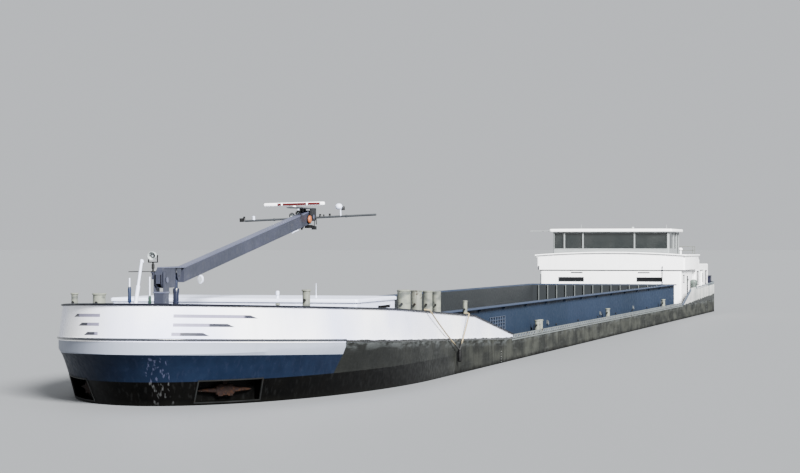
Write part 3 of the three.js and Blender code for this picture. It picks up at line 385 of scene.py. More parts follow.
def pocket_frame(side):
    """Where the anchor's pocket sits: X along the plating, Y out of it."""
    turn = Matrix.Rotation(-side * POCKET["turn"], 4, "Z")
    return Matrix.Translation((station(POCKET["aft"]), side * POCKET["y"], 0)) @ turn


bilge_levels = [BILGE * (1 - math.cos(math.pi / 2 * i / 6)) for i in range(7)]
low_levels = sorted(set(bilge_levels) | set(levels(BILGE, BOOT_TOP_Z, 0.016, (WATERLINE,))))
rings = [bow_ring(lambda x, z=z: z) for z in low_levels]
for share in levels(0, 1, 0.25)[1:]:
    rings.append(bow_ring(lambda x: BOOT_TOP_Z + share * (min(KNUCKLE_Z, deck_at(x) - 0.006) - BOOT_TOP_Z)))
rings += [bow_ring(lambda x: (min(KNUCKLE_Z, deck_at(x) - 0.006) + deck_at(x)) / 2), bow_ring(deck_at)]
bm = bmesh.new()
loft(bm, rings)[-1].material_index = 1
hull_bow_plating = piece("hull_bow_plating", bm, [hull_paint, deck_paint], "hull",
                         ["hull_bow"])
for side in (1, -1):
    bm = bmesh.new()
    block(bm, (-POCKET["half"], POCKET["half"]),
          (-POCKET["depth"], 0.12) if side > 0 else (-0.12, POCKET["depth"]), POCKET["z"])
    bm.transform(pocket_frame(side))
    cut_away(hull_bow_plating, bm)


# Hull plating, middle: straight sides with a round bilge. The plates have sunk a little between the frames,
# as they do on a loaded barge. The hold between the double sides is bare steel, scraped by its cargoes.
def sunk(x, z, foot, head, depth, seed):
    """How far a plate has sunk between its frames, which stand 60 mm apart."""
    bay = math.floor(x / 0.06)
    share = x / 0.06 - bay
    deep = random.Random(seed + bay).uniform(0.35, 1.0)
    across = math.sin(math.pi * min(1.0, max(0.0, (z - foot) / (head - foot))))
    return depth * deep * across * math.sin(math.pi * share) ** 2


def hold_bands(tree, coords):
    """Scraped grey steel, with primer and rust in sheets."""
    sheets = span(tree, noise(tree, coords, 4, 6.0, (1, 1, 2)), 0.4, 0.64)
    base = mixed(tree, sheets, rgb(96, 98, 100), rgb(126, 124, 120))
    scraped = span(tree, noise(tree, coords, 22, 4.0, (0.25, 0.25, 2.4), (6, 1, 1)), 0.56, 0.66)
    return mixed(tree, maths(tree, "MULTIPLY", scraped, 0.5), base, rgb(150, 150, 148))


hold_paint = finish("hold_paint", (108, 108, 106), 0.6, mottle=0.2, grime=0.35, streaks=0.3, rust=0.45,
                    grain=0.3, bands=hold_bands)
HOLD_AFT = 8.85
HOLD_HALF = 0.5
HOLD_FLOOR_Z = 0.06
bm = bmesh.new()
side_shares = levels(0, 1, 0.125)
rings = []
for x in levels(station(HOLD_AFT), station(HOLD_FORE), 0.015):
    top = deck_at(x)
    side_levels = bilge_levels + [0.09 + (top - 0.09) * share for share in side_shares]
    outer = [(x, half_breadth(z) - sunk(x, z, 0.3, top, 0.0011, 7), z) for z in side_levels]
    starboard = [(x, -half_breadth(z) + sunk(x, z, 0.3, top, 0.0011, 99), z) for z in reversed(side_levels)]
    inner = [(x, HOLD_HALF, top), (x, HOLD_HALF, HOLD_FLOOR_Z), (x, -HOLD_HALF, HOLD_FLOOR_Z),
             (x, -HOLD_HALF, top)]
    rings.append(outer + inner + starboard)
for face in loft(bm, rings):
    centre = face.calc_center_median()
    if abs(centre.y) < 0.56 and centre.z > HOLD_FLOOR_Z / 2:
        face.material_index = 1 if abs(centre.y) > HOLD_HALF + 0.001 else 2
piece("hull_side_plating", bm, [side_paint, deck_paint, hold_paint], "hull", ["hull_midbody"])


# Hull plating, stern: a rounded transom over a long tunnel for the propeller, with the skeg, the stern tube
# and the rudder trunks welded in, and the engine room's well open to the deckhouse.
STERN_X = -5.5
SHAFT_Z = 0.105
PROPELLER_X = -4.945
RUDDER_X = -5.13
RUDDER_Y = 0.062
AFT_DECK_Z = GANGWAY_Z
TUBE_END_X = -4.9107
ENGINE_WELL = ((-4.35, -3.85), (-0.26, 0.26), (0.09, AFT_DECK_Z + 0.01))


def stern_ring(z, inset=0.0, fore=HOLD_AFT + GAP, steps=72):
    """The stern's outline at a height, from port to starboard. Low down it draws in for the tunnel."""
    setback = 1.3 * math.sqrt(max(0.0, 1 - z / 0.3))
    run = 0.33 + 0.3 * setback - inset
    half = half_breadth(z) - inset
    full_x = STERN_X + setback + inset + run
    ring = [(station(fore), half)]
    for i in range(steps + 1):
        angle = math.pi * (0.5 - i / steps)
        breadth = math.copysign(abs(math.sin(angle)) ** 0.65, math.sin(angle))
        ring.append((full_x - run * max(0.0, math.cos(angle)) ** 0.65, half * breadth))
    return ring + [(station(fore), -half)]


def turned(bm, profile, centre, axis="z", paint=0, steps=24):
    """A profile of (radius, distance along the axis) turned about it. A radius of 0 closes the end."""
    centre = Vector(centre)
    basis = {"x": (1, 2, 0), "y": (2, 0, 1), "z": (0, 1, 2)}[axis]
    ring_shaped = math.dist(profile[0], profile[-1]) < 1e-9
    rings, faces = [], []
    for radius, along in profile[:-1] if ring_shaped else profile:
        ring = []
        for i in range(steps if radius > 0 else 1):
            angle = 2 * math.pi * i / steps
            local = (radius * math.cos(angle), radius * math.sin(angle), along)
            point = [0.0, 0.0, 0.0]
            for value, place in zip(local, basis):
                point[place] = value
            ring.append(bm.verts.new(centre + Vector(point)))
        rings.append(ring)
    if ring_shaped:
        rings.append(rings[0])
    for low, high in zip(rings, rings[1:]):
        for i in range(steps):
            j = (i + 1) % steps
            corners = [low[i % len(low)], low[j % len(low)], high[j % len(high)], high[i % len(high)]]
            corners = list(dict.fromkeys(corners))
            if len(corners) > 2:
                faces.append(bm.faces.new(corners))
    for ring in () if ring_shaped else (rings[0], rings[-1]):
        if len(ring) > 1:
            faces.append(bm.faces.new(ring))
    for face in faces:
        face.material_index = paint
    return faces


def rod(bm, axis, radius, start, end, centre, paint=0, steps=20, chamfer=0.0):
    """A round bar along an axis, between two distances from its centre."""
    profile = [(radius, start), (radius, end)]
    if chamfer:
        profile = [(radius - chamfer, start), (radius, start + chamfer), (radius, end - chamfer),
                   (radius - chamfer, end)]
    return turned(bm, [(0, profile[0][1])] + profile + [(0, profile[-1][1])], centre, axis, paint, steps)


bm = bmesh.new()
stern_levels = sorted({*bilge_levels, *levels(BILGE, 0.28, 0.0115), 0.285, 0.29, 0.294, 0.297, 0.299, 0.3,
                       0.33, 0.36, 0.39, AFT_DECK_Z})
loft(bm, [[(x, y, z) for x, y in stern_ring(z)] for z in stern_levels])[-1].material_index = 1
hull_stern_plating = piece("hull_stern_plating", bm, [side_paint, deck_paint], "hull",
                           ["hull_stern"])
bm = bmesh.new()
block(bm, *ENGINE_WELL)
cut_away(hull_stern_plating, bm)
bm = bmesh.new()
skeg = [(-4.15, 0.002), (-4.7, 0.06), (TUBE_END_X, 0.087), (TUBE_END_X, 0.123), (-4.8, 0.24), (-4.15, 0.2)]
loft(bm, [[(x, y, z) for x, z in skeg] for y in (-0.014, 0.014)])
rod(bm, "x", 0.02, TUBE_END_X, -4.4, (0, 0, SHAFT_Z), steps=28)
for side in (1, -1):
    rod(bm, "z", 0.017, 0.236, 0.3, (RUDDER_X, side * RUDDER_Y, 0))
piece("skeg_and_trunks", bm, hull_paint, "hull", bevel=0.0015)


# Gangway kerb: a flat bar on edge along each side of the hull, with a long scupper hole in every bay, and a
# round bar welded along its foot. One bay is repeated all along the hold.
def open_tree(name, sockets):
    """A tree that takes and gives a mesh and has named inputs, with its first and its last node."""
    tree = bpy.data.node_groups.new(name, "GeometryNodeTree")
    for label, kind in sockets.items():
        tree.interface.new_socket(label, in_out="INPUT", socket_type="NodeSocket" + kind)
    tree.interface.new_socket("Geometry", in_out="OUTPUT", socket_type="NodeSocketGeometry")
    return tree, tree.nodes.new("NodeGroupInput"), tree.nodes.new("NodeGroupOutput")


def join(tree, links):
    """Links nodes. Each link is a node and its output, then a node and its input."""
    for source, leaving, target, entering in links:
        tree.links.new(source.outputs[leaving], target.inputs[entering])


def row_tree():
    """A tree that repeats the mesh that it is given along a line, realizes the copies and paints them."""
    tree, given, result = open_tree("row", {"Geometry": "Geometry", "Count": "Int", "Start": "Vector",
                                            "Step": "Vector", "Paint": "Material"})
    line, place, real, paint = (tree.nodes.new("GeometryNode" + kind) for kind in
                                ("MeshLine", "InstanceOnPoints", "RealizeInstances", "SetMaterial"))
    join(tree, (
        (given, "Count", line, "Count"), (given, "Start", line, "Start Location"),
        (given, "Step", line, "Offset"), (line, "Mesh", place, "Points"),
        (given, "Geometry", place, "Instance"), (place, "Instances", real, "Geometry"),
        (real, "Geometry", paint, "Geometry"), (given, "Paint", paint, "Material"),
        (paint, "Geometry", result, "Geometry"),
    ))
    return tree


ROW = row_tree()


def plain_mesh(made, tree, inputs):
    """Runs a tree on a piece with its named inputs, and leaves the piece as a plain mesh."""
    modifier = made.modifiers.new("nodes", "NODES")
    modifier.node_group = tree
    for item in tree.interface.items_tree:
        if item.item_type == "SOCKET" and item.in_out == "INPUT" and item.name in inputs:
            modifier[item.identifier] = inputs[item.name]
    settle(made, modifier)


def row(name, bm, material, body, count, start, step):
    """A row of like pieces. The mesh that is given is one of them, about the origin."""
    made = in_scene(name, bm)
    plain_mesh(made, ROW, {"Count": count, "Start": start, "Step": step, "Paint": material})
    shaded(made.data, 35)
    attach(made, body)


SIDES = ((1, "port"), (-1, "starboard"))
kerb_paint = finish("kerb_paint", (184, 188, 188), 0.5, mottle=0.15, grime=0.25, streaks=0.1, rust=0.1,
                    grain=0.3, shine=0.15)
KERB = {"bay": 0.06, "height": 0.018, "thick": 0.003, "hole": (0.034, 0.0085), "hole_z": 0.0088}
KERB_FORE = 3.09
KERB_COUNT = int((8.82 - 3.1) / KERB["bay"])


def kerb_bay(bm):
    """A bar on edge with an oval hole through it."""
    half = KERB["bay"] / 2
    flat = (KERB["hole"][0] - KERB["hole"][1]) / 2
    radius = KERB["hole"][1] / 2
    outline, hole = [], []
    for i in range(16):
        angle = 2 * math.pi * (i + 0.5) / 16
        side_x = flat if math.cos(angle) > 0 else -flat
        hole.append((side_x + radius * math.cos(angle), KERB["hole_z"] + radius * math.sin(angle)))
        reach = 1 / max(abs(math.cos(angle)), abs(math.sin(angle)))
        outline.append((half * max(-1, min(1, math.cos(angle) * reach)),
                        KERB["height"] * (0.5 + 0.5 * max(-1, min(1, math.sin(angle) * reach)))))
    tables = [[[bm.verts.new((x, y, z)) for x, z in ring] for ring in (outline, hole)]
              for y in (0, -KERB["thick"])]
    for i in range(16):
        j = (i + 1) % 16
        for outer, inner in tables:
            bm.faces.new((outer[i], outer[j], inner[j], inner[i]))
        bm.faces.new((tables[0][1][i], tables[0][1][j], tables[1][1][j], tables[1][1][i]))
        if outline[i][1] != outline[j][1] or abs(outline[i][1] - KERB["height"]) < 1e-9:
            bm.faces.new((tables[0][0][i], tables[0][0][j], tables[1][0][j], tables[1][0][i]))


for side, name in SIDES:
    bm = bmesh.new()
    kerb_bay(bm)
    if side < 0:
        bmesh.ops.scale(bm, vec=(1, -1, 1), verts=bm.verts)
    row(f"gangway_kerb_{name}", bm, kerb_paint, "hull", KERB_COUNT,
        (station(3.12), side * (HALF_BEAM - 0.001), GANGWAY_Z - 0.0002), (-KERB["bay"], 0, 0))
    bm = bmesh.new()
    foot = (0, side * (HALF_BEAM - 0.0005), GANGWAY_Z - 0.006)
    rod(bm, "x", 0.003, station(HOLD_AFT), station(KERB_FORE), foot, steps=8)
    piece(f"gangway_rub_bar_{name}", bm, kerb_paint, "hull")


# Bulwarks forward: white plating that leans in a little, with a half-round rub rail welded at its foot and a
# pipe cap along its top, painted navy. They follow the fall of the deck, and three short bars are painted
# each side.
RUB = 0.005
RAIL_RISE = 0.004
RAIL_TALL = 0.0085
BULWARK_RISE = 0.121
TUMBLEHOME = 0.014
PLATE = 0.008
BOW_WALL_END = 1.44
CAP_HALF = 0.007
CAP_THICK = 0.008
BULWARK_STEP = 2.41
BULWARK_END = 3.1
BARS = [
    # height over the deck, where it starts and ends across the ship, where its darker tail starts
    (0.083, 0.140, 0.336, 0.309), (0.055, 0.140, 0.288, 0.231), (0.026, 0.137, 0.232, 0.160),
    (0.083, -0.096, -0.222, -0.196), (0.055, -0.098, -0.192, -0.150), (0.026, -0.101, -0.161, -0.115),
]


def cap_at(x):
    """Height of the cap. Aft of the foredeck it falls a little faster than the deck."""
    return deck_at(x) + BULWARK_RISE - 0.014 * max(0.0, station(1.2) - x)


def white_bands(tree, coords):
    """White over a thin grey line, with the six bars, and weathered grey under the rail further aft."""
    x, y, z = node(tree, "SeparateXYZ", {0: coords}).outputs
    height = over_deck(tree, x, z)
    tone = noise(tree, coords, 2.2)
    colour_now = mixed(tree, span(tree, tone, 0.3, 0.7), rgb(236, 237, 242), rgb(248, 248, 250))
    for bar_height, start, end, tail in BARS:
        out = 1 if end > 0 else -1
        across = maths(tree, "MULTIPLY", y, out)
        slant = maths(tree, "MULTIPLY_ADD", maths(tree, "SUBTRACT", bar_height, height), 1.6,
                      abs(end) - 0.006)
        inside = both(tree, over(tree, across, abs(start)), maths(tree, "LESS_THAN", across, slant),
                      over(tree, x, station(0.7)), within(tree, height, bar_height, 0.0052))
        dark = span(tree, across, abs(tail) - 0.002, abs(tail) + 0.002)
        shade = mixed(tree, dark, rgb(206, 204, 216), rgb(116, 118, 136))
        colour_now = mixed(tree, inside, colour_now, shade)
    rough_edge = maths(tree, "MULTIPLY_ADD", noise(tree, coords, 22, 4.0), 0.012, height)
    worn = maths(tree, "LESS_THAN", rough_edge, RAIL_RISE + 0.011)
    aft = maths(tree, "LESS_THAN", x, PAINT_END)
    grey = mixed(tree, span(tree, noise(tree, coords, 8, 5.0, (1, 1, 2)), 0.4, 0.65), rgb(70, 72, 73),
                 rgb(134, 135, 132))
    colour_now = mixed(tree, both(tree, worn, aft), colour_now, grey)
    rail = both(tree, within(tree, height, RAIL_RISE + RAIL_TALL / 2, RAIL_TALL / 2),
                over(tree, x, PAINT_END))
    return mixed(tree, rail, colour_now, rgb(112, 117, 128))


bulwark_paint = finish("bulwark_paint", (240, 240, 244), 0.28, mottle=0.04, grime=0.05, streaks=0.04,
                       coat=0.35, bands=white_bands, grain=0.06)
white_paint = finish("white_paint", (238, 239, 242), 0.34, mottle=0.06, grime=0.1, streaks=0.08, coat=0.15)
navy_paint = finish("navy_paint", (34, 40, 62), 0.4, mottle=0.1, grime=0.05, streaks=0.03,
                    rust=0.03, shine=0.12)


def wall_along(path, section_at):
    """Rings for a wall that follows a path in plan. A section is a list of (outward offset, height)."""
    rings = []
    for i, (x, y) in enumerate(path):
        before, after = path[max(i - 1, 0)], path[min(i + 1, len(path) - 1)]
        tangent = Vector((after[0] - before[0], after[1] - before[1])).normalized()
        out = (tangent.y, -tangent.x)
        rings.append([(x + out[0] * offset, y + out[1] * offset, z) for offset, z in section_at(x)])
    return rings


def pruned(path, least):
    """The path without the points that all but touch the one before."""
    return [path[0]] + [b for a, b in zip(path, path[1:]) if math.dist(a, b) > least]


def half_round(radius, foot):
    """A half-round bar standing out of a wall, from its foot upwards."""
    angles = [math.pi * i / 6 for i in range(7)]
    return [(radius * math.sin(a), foot + RAIL_TALL * (1 - math.cos(a)) / 2) for a in angles]


def side_top(x):
    """The cap's height and how far the plating leans in, which both run out at the bulwark's after end."""
    end = max(0.0, (station(BULWARK_STEP) - x) / (BULWARK_END - BULWARK_STEP))
    if end == 0:
        return cap_at(x), TUMBLEHOME
    return cap_at(station(BULWARK_STEP)) * (1 - end) + (GANGWAY_Z + 0.024) * end, TUMBLEHOME * (1 - end)


def bulwark_section(x, foot_gap):
    """(distance outwards, height): the plating with the rub rail at its foot."""
    top, lean = side_top(x)
    foot = deck_at(x) + foot_gap
    rail = RUB if x > station(2.98) else 0.001
    wall = [(-PLATE, foot), (0, foot), *half_round(rail, foot + RAIL_RISE)]
    return wall + [(-lean, top - CAP_THICK), (-lean - PLATE, top - CAP_THICK)]


def pipe_cap(offset, top):
    """A flattened pipe along the top of the plating."""
    angles = [2 * math.pi * i / 14 for i in range(14)]
    return [(offset - PLATE / 2 + (CAP_HALF + PLATE / 2) * math.cos(a),
             top - CAP_THICK / 2 + CAP_THICK / 2 * math.sin(a)) for a in angles]


bow_path = [(x, y) for x, y, _ in bow_ring(deck_at, 0, BOW_WALL_END, 160)]
bm = bmesh.new()
loft(bm, wall_along(bow_path, lambda x: bulwark_section(x, 0.0006)))
piece("bow_bulwark_plating", bm, bulwark_paint, "hull", ["bulwark_bow"], smooth=50)
side_xs = levels(station(BULWARK_END), station(BOW_WALL_END) - GAP, 0.0345, (station(BULWARK_STEP),))[::-1]
for side, name in SIDES:
    bm = bmesh.new()
    loft(bm, [[(x, side * (HALF_BEAM + offset), z) for offset, z in bulwark_section(x, GAP)]
              for x in side_xs])
    piece(f"side_bulwark_plating_{name}", bm, bulwark_paint, "hull",
          [f"bulwark_side_{name}"], smooth=50)
cap_path = [(x, -HALF_BEAM) for x in reversed(side_xs[1:])] + bow_path
cap_path += [(x, HALF_BEAM) for x in side_xs[1:]]
bm = bmesh.new()
loft(bm, wall_along(pruned(cap_path, 0.001), lambda x: pipe_cap(-side_top(x)[1], side_top(x)[0])))
piece("bulwark_cap", bm, navy_paint, "hull", smooth=60)
BRACKETS = 15
for side, name in SIDES:
    bm = bmesh.new()
    loft(bm, [[(x, y * side, z) for y, z in ((0, 0.001), (-0.05, 0.001), (-0.012, 0.1), (0, 0.1))]
              for x in (-0.0015, 0.0015)])
    row(f"bulwark_stays_{name}", bm, white_paint, "hull", BRACKETS,
        (station(1.5), side * (HALF_BEAM - PLATE - 0.0095), deck_at(station(1.5))),
        (-0.062, 0, -0.062 * SHEER))


# Coamings round the hold: steel plate on edge, blue-grey, with a flange turned outwards along the top and
# webs under it, about half a metre apart along the sides and closer across the ends. The after coaming is
# stiffened inside the flange as well.
HOLD_LONG = HOLD_AFT - HOLD_FORE
HOLD_MID_X = station(HOLD_FORE + HOLD_LONG / 2)


def coaming_bands(tree, coords):
    """Blue-grey paint, chalky in patches, paler on the flange as a painted highlight, and dirty along the
    foot.
    """
    x, y, z = node(tree, "SeparateXYZ", {0: coords}).outputs
    chalky = span(tree, noise(tree, coords, 3, 5.0, (0.5, 1, 0.6)), 0.38, 0.64)
    base = mixed(tree, chalky, rgb(72, 96, 130), rgb(82, 106, 140))
    # Painted highlight: the flange is paler, for the light that falls on its top from above.
    top = over(tree, z, 0.5555)
    base = mixed(tree, top, base, rgb(122, 138, 160))
    hold_side = both(tree, within(tree, y, 0, HOLD_HALF + 0.001),
                     within(tree, x, HOLD_MID_X, HOLD_LONG / 2 + 0.0015))
    base = mixed(tree, both(tree, hold_side, maths(tree, "SUBTRACT", 1.0, top)), base, rgb(98, 104, 108))
    return mixed(tree, span(tree, over_deck(tree, x, z), 0.03, 0.0, 0, 0.35), base, rgb(98, 108, 122))


coaming_paint = finish("coaming_paint", (70, 88, 116), 0.6, mottle=0.06, grime=0.05, streaks=0.04,
                       bands=coaming_bands, shine=0.08)
COAMING_Z = 0.564
COAMING_WALL = 0.01
FLANGE = 0.02
FLANGE_THICK = 0.008


def coaming_section(foot):
    """(distance outwards, height): the wall and its flange, with a rounded lip."""
    lip = [(COAMING_WALL + FLANGE - 0.004 + 0.004 * math.sin(math.pi * i / 6),
            COAMING_Z - FLANGE_THICK / 2 - 0.004 * math.cos(math.pi * i / 6)) for i in range(7)]
    return [(0, foot), (COAMING_WALL, foot), (COAMING_WALL, COAMING_Z - FLANGE_THICK), *lip, (0, COAMING_Z)]


for side, name in SIDES:
    bm = bmesh.new()
    xs = levels(station(HOLD_AFT) + GAP, station(HOLD_FORE) - GAP, 0.1)
    loft(bm, [[(x, side * (HOLD_HALF + out), z) for out, z in coaming_section(deck_at(x) + GAP)]
              for x in xs])
    piece(f"coaming_plate_{name}", bm, coaming_paint, "hull", [f"coaming_{name}"])
    bm = bmesh.new()
    web = ((0, -0.001), (0.011, -0.001), (0.011, -0.003), (0.003, -0.016), (0, -0.016))
    loft(bm, [[(x, side * y, z) for y, z in web] for x in (-0.0012, 0.0012)])
    row(f"coaming_webs_{name}", bm, coaming_paint, "hull", 14,
        (station(2.2), side * (HOLD_HALF + COAMING_WALL - 0.0003), COAMING_Z - FLANGE_THICK), (-0.492, 0, 0))
for name, x, out, foot in (("fore", station(HOLD_FORE) + GAP, 1, deck_at(station(HOLD_FORE) + COAMING_WALL)),
                           ("aft", station(HOLD_AFT) - GAP, -1, AFT_DECK_Z)):
    bm = bmesh.new()
    half = HOLD_HALF + COAMING_WALL
    loft(bm, [[(x + out * reach, y, z) for reach, z in coaming_section(foot + 0.0008)]
              for y in (-half, half)])
    piece(f"coaming_plate_{name}", bm, coaming_paint, "hull", [f"coaming_{name}"])
    bm = bmesh.new()
    web = ((0, -0.001), (0.0185, -0.001), (0.0185, -0.006), (0.003, foot + 0.002 - 0.556),
           (0, foot + 0.002 - 0.556))
    loft(bm, [[(out * reach, y, z) for reach, z in web] for y in (-0.0012, 0.0012)])
    row(f"coaming_webs_{name}", bm, coaming_paint, "hull", 9,
        (x + out * (COAMING_WALL - 0.0003), -0.44, COAMING_Z - FLANGE_THICK), (0, 0.11, 0))
bm = bmesh.new()
block(bm, (-0.0005, 0.011), (-0.0016, 0.0016), (0, COAMING_Z - AFT_DECK_Z - 0.014))
row("coaming_ribs_aft", bm, kerb_paint, "hull", 15,
    (station(HOLD_AFT) + 0.0002, -0.455, AFT_DECK_Z + 0.006), (0, 0.065, 0))


# Ladder frame, rings and vents: a frame of round bars on the port coaming, lashing rings on plates along
# both coamings, and small round vents in the port one, drawn as dark discs whose paint is painted shade for
# their openings. All of them are steel, welded on.
RACK = {"x": (station(3.21), station(2.91)), "y": 0.514, "z": (0.454, 0.514)}
bm = bmesh.new()
for i in range(7):
    x = RACK["x"][0] + (RACK["x"][1] - RACK["x"][0]) * i / 6
    rod(bm, "z", 0.0018, RACK["z"][0], RACK["z"][1], (x, RACK["y"], 0), steps=8)
for i in range(5):
    z = RACK["z"][0] + (RACK["z"][1] - RACK["z"][0]) * i / 4
    rod(bm, "x", 0.0016, RACK["x"][0] - 0.002, RACK["x"][1] + 0.002, (0, RACK["y"], z), steps=8)
for x in RACK["x"]:
    for z in RACK["z"]:
        rod(bm, "y", 0.0018, 0.5095, 0.516, (x, 0, z), steps=8)
rack_paint = finish("rack_paint", (126, 140, 160), mottle=0.1, grime=0.2, rust=0.05)
ring_paint = finish("ring_paint", (150, 156, 160), mottle=0.15, grime=0.3, rust=0.05)
piece("coaming_rack", bm, rack_paint, "hull")
RINGS = [4.21, 5.75, 6.96, 8.2]


def hoop(radius, wire):
    """The profile of a ring of round bar."""
    return [(radius + wire * math.cos(a), wire * math.sin(a)) for a in [math.pi * i / 4 for i in range(9)]]


for number, aft in enumerate(RINGS):
    for side, name in SIDES:
        bm = bmesh.new()
        x = station(aft)
        block(bm, (x - 0.0125, x + 0.0125), sorted((side * 0.5098, side * 0.514)), (0.444, 0.462))
        turned(bm, hoop(0.009, 0.0022), (x, side * 0.517, 0.448), "y", 0, 16)
        piece(f"lashing_ring_{number}_{name}", bm, ring_paint, "hull")
bm = bmesh.new()
rod(bm, "y", 0.005, 0, 0.006, (0, 0, 0), steps=12, chamfer=0.001)
# Painted shade: each vent is a short disc, dark for the shade inside its opening.
scupper_shade_paint = finish("scupper_shade_paint", (34, 38, 46), 0.5, mottle=0.1, grime=0.1)
row("coaming_scuppers", bm, scupper_shade_paint, "hull", 9, (station(3.2), 0.5096, 0.434),
    (-0.62, 0, 0))


# Posts and bollards: steel tubes with a plate welded over the top and round pins through them. Four tall
# ones stand by the fore cabin, two lean ones and two stout ones near the bow, and pairs along the gangways.
def post_bands(tree, coords):
    """Cream-grey paint, rubbed to bare steel by the ropes, with rust under the pins."""
    rubbed = span(tree, noise(tree, coords, 20, 5.0, (1, 1, 2.2), (2, 9, 4)), 0.5, 0.64)
    base = mixed(tree, rubbed, rgb(200, 202, 194), rgb(168, 172, 167))
    weeping = span(tree, noise(tree, coords, 50, 3.0, (2, 2, 0.2), (4, 4, 8)), 0.6, 0.7)
    return mixed(tree, maths(tree, "MULTIPLY", weeping, 0.45), base, rgb(128, 108, 90))


post_paint = finish("post_paint", (196, 198, 192), mottle=0.14, grime=0.25, streaks=0.3, rust=0.03,
                    bands=post_bands)
worn_steel = finish("worn_steel", (84, 84, 86), 0.42, metallic=0.35, mottle=0.2, grime=0.3, rust=0.4)


def post(name, x, y, foot, top, radius, pins, nodes=(), plate=0.002):
    """A tube with a welded top plate, a weld bead at its foot and pins at the given heights."""
    bm = bmesh.new()
    lip = radius + plate
    turned(bm, [(0, foot), (radius + 0.003, foot), (radius, foot + 0.0035), (radius, top - 0.006),
                (lip, top - 0.005), (lip, top - 0.0015), (lip - 0.0015, top), (0, top)],
           (x, y, 0), "z", 0, 40)
    for pin in pins:
        rod(bm, "x", 0.003, -radius - 0.0062, radius + 0.0062, (x, y, pin), 1, 14)
        for end in (-1, 1):
            washer = sorted((end * (radius + 0.0055), end * (radius + 0.007)))
            rod(bm, "x", 0.0048, *washer, (x, y, pin), 1, 14)
    piece(name, bm, [post_paint, worn_steel], "hull", nodes)


FORE_POSTS = [(1.57, 0.48, 0.025), (1.68, 0.5, 0.021), (1.78, 0.519, 0.018), (1.915, 0.521, 0.016)]
for number, (aft, y, radius) in enumerate(FORE_POSTS, 1):
    foot = deck_at(station(aft)) + 0.0008
    post(f"mooring_post_{number}_tube", station(aft), y, foot, foot + 0.192, radius,
         (foot + 0.09, foot + 0.139), nodes=[f"mooring_post_{number}"], plate=0.0015)
for name, aft, y, radius, top in (("stout_starboard", 0.72, -0.39, 0.0225, 0.661),
                                  ("lean_starboard", 0.48, -0.378, 0.011, 0.667),
                                  ("stout_port", 0.64, 0.389, 0.013, 0.679),
                                  ("lean_port", 0.48, 0.341, 0.005, 0.636)):
    foot = deck_at(station(aft)) - 0.001
    post(f"bow_bollard_{name}", station(aft), y, foot, top, radius,
         (foot + 0.45 * (top - foot), foot + 0.8 * (top - foot)), plate=0.003)
post("gangway_post_tall", station(2.333), 0.5369, deck_at(station(2.333)) - 0.001, 0.603, 0.0085, (0.567,))
for aft in (3.78, 3.85, 5.8, 8.04):
    for side, name in SIDES:
        post(f"gangway_bollard_{int(aft * 100)}_{name}", station(aft), side * 0.548, GANGWAY_Z - 0.001,
             0.477, 0.012, (0.453,), plate=0.0025)


# Fore cabin: a low steel house across the foredeck, with an overhanging roof over a shadow gap, a louvred
# slot in each side and a doorway to the hold. A vent post and a whip aerial stand on its roof.
CABIN_FORE = {"x": (station(1.52), station(1.0)), "half": 0.46, "top": 0.639, "wall": 0.01, "roof": 0.012,
              "eave": 0.006}


def rounded(x0, x1, half, z, radius=0.012):
    """A rectangle with round corners in plan, across the ship's centreline."""
    ring = []
    for cx, cy, start in ((x1, half, 0), (x0, half, 90), (x0, -half, 180), (x1, -half, 270)):
        ox, oy = (-radius if cx == x1 else radius), (-radius if cy > 0 else radius)
        for i in range(6):
            angle = math.radians(start + 18 * i)
            ring.append((cx + ox + radius * math.cos(angle), cy + oy + radius * math.sin(angle), z))
    return ring


def shell(bm, x0, x1, half, foot_at, top, wall, radius=0.012):
    """Walls standing on a deck: an outer and an inner face, joined at the foot and at the top."""
    outer = rounded(x0, x1, half, 0, radius)
    inner = rounded(x0 + wall, x1 - wall, half - wall, 0, max(0.001, radius - wall))
    rings = [[(x, y, foot_at(x)) for x, y, _ in outer], [(x, y, top) for x, y, _ in outer],
             [(x, y, top) for x, y, _ in inner], [(x, y, foot_at(x)) for x, y, _ in inner]]
    loft(bm, rings + [rings[0]], ends=False)
    bmesh.ops.remove_doubles(bm, verts=bm.verts, dist=1e-6)


x0, x1 = CABIN_FORE["x"]
bm = bmesh.new()
shell(bm, x0, x1, CABIN_FORE["half"], lambda x: deck_at(x) + 0.0006, CABIN_FORE["top"] - 0.014,
      CABIN_FORE["wall"])
fore_cabin_walls = piece("fore_cabin_walls", bm, white_paint, "hull", ["fore_cabin"])
SLOT_X = (station(1.46), station(1.28))
for x, y, z in (((x0 - 0.01, x0 + 0.02), (-0.04, 0.04), (deck_at(x0) + 0.008, CABIN_FORE["top"] - 0.024)),
                (SLOT_X, (0.44, 0.47), (0.598, 0.609)), (SLOT_X, (-0.47, -0.44), (0.598, 0.609))):
    bm = bmesh.new()
    block(bm, x, y, z)
    cut_away(fore_cabin_walls, bm)
bm = bmesh.new()
eave = CABIN_FORE["eave"]
top = CABIN_FORE["top"]
roof_rings = [rounded(x0 + 0.002, x1 - 0.002, CABIN_FORE["half"] - 0.002, top - 0.015)]
roof_edge = [(0.0035, top - 0.0145), (0.0, top - 0.0125), (0.0, top - 0.004), (0.002, top - 0.001),
             (0.006, top)]
roof_rings += [rounded(x0 - eave + cut, x1 + eave - cut, CABIN_FORE["half"] + eave - cut, z)
               for cut, z in roof_edge]
loft(bm, roof_rings)
piece("fore_cabin_roof", bm, white_paint, "hull", smooth=50)
bm = bmesh.new()
slat = [(0.4505, 0.0012), (0.4585, 0), (0.4585, 0.0007), (0.4505, 0.0019)]
for side in (1, -1):
    for i in range(4):
        z = 0.5995 + 0.0026 * i
        loft(bm, [[(x, side * y, z + rise) for y, rise in slat] for x in (station(1.459), station(1.281))])
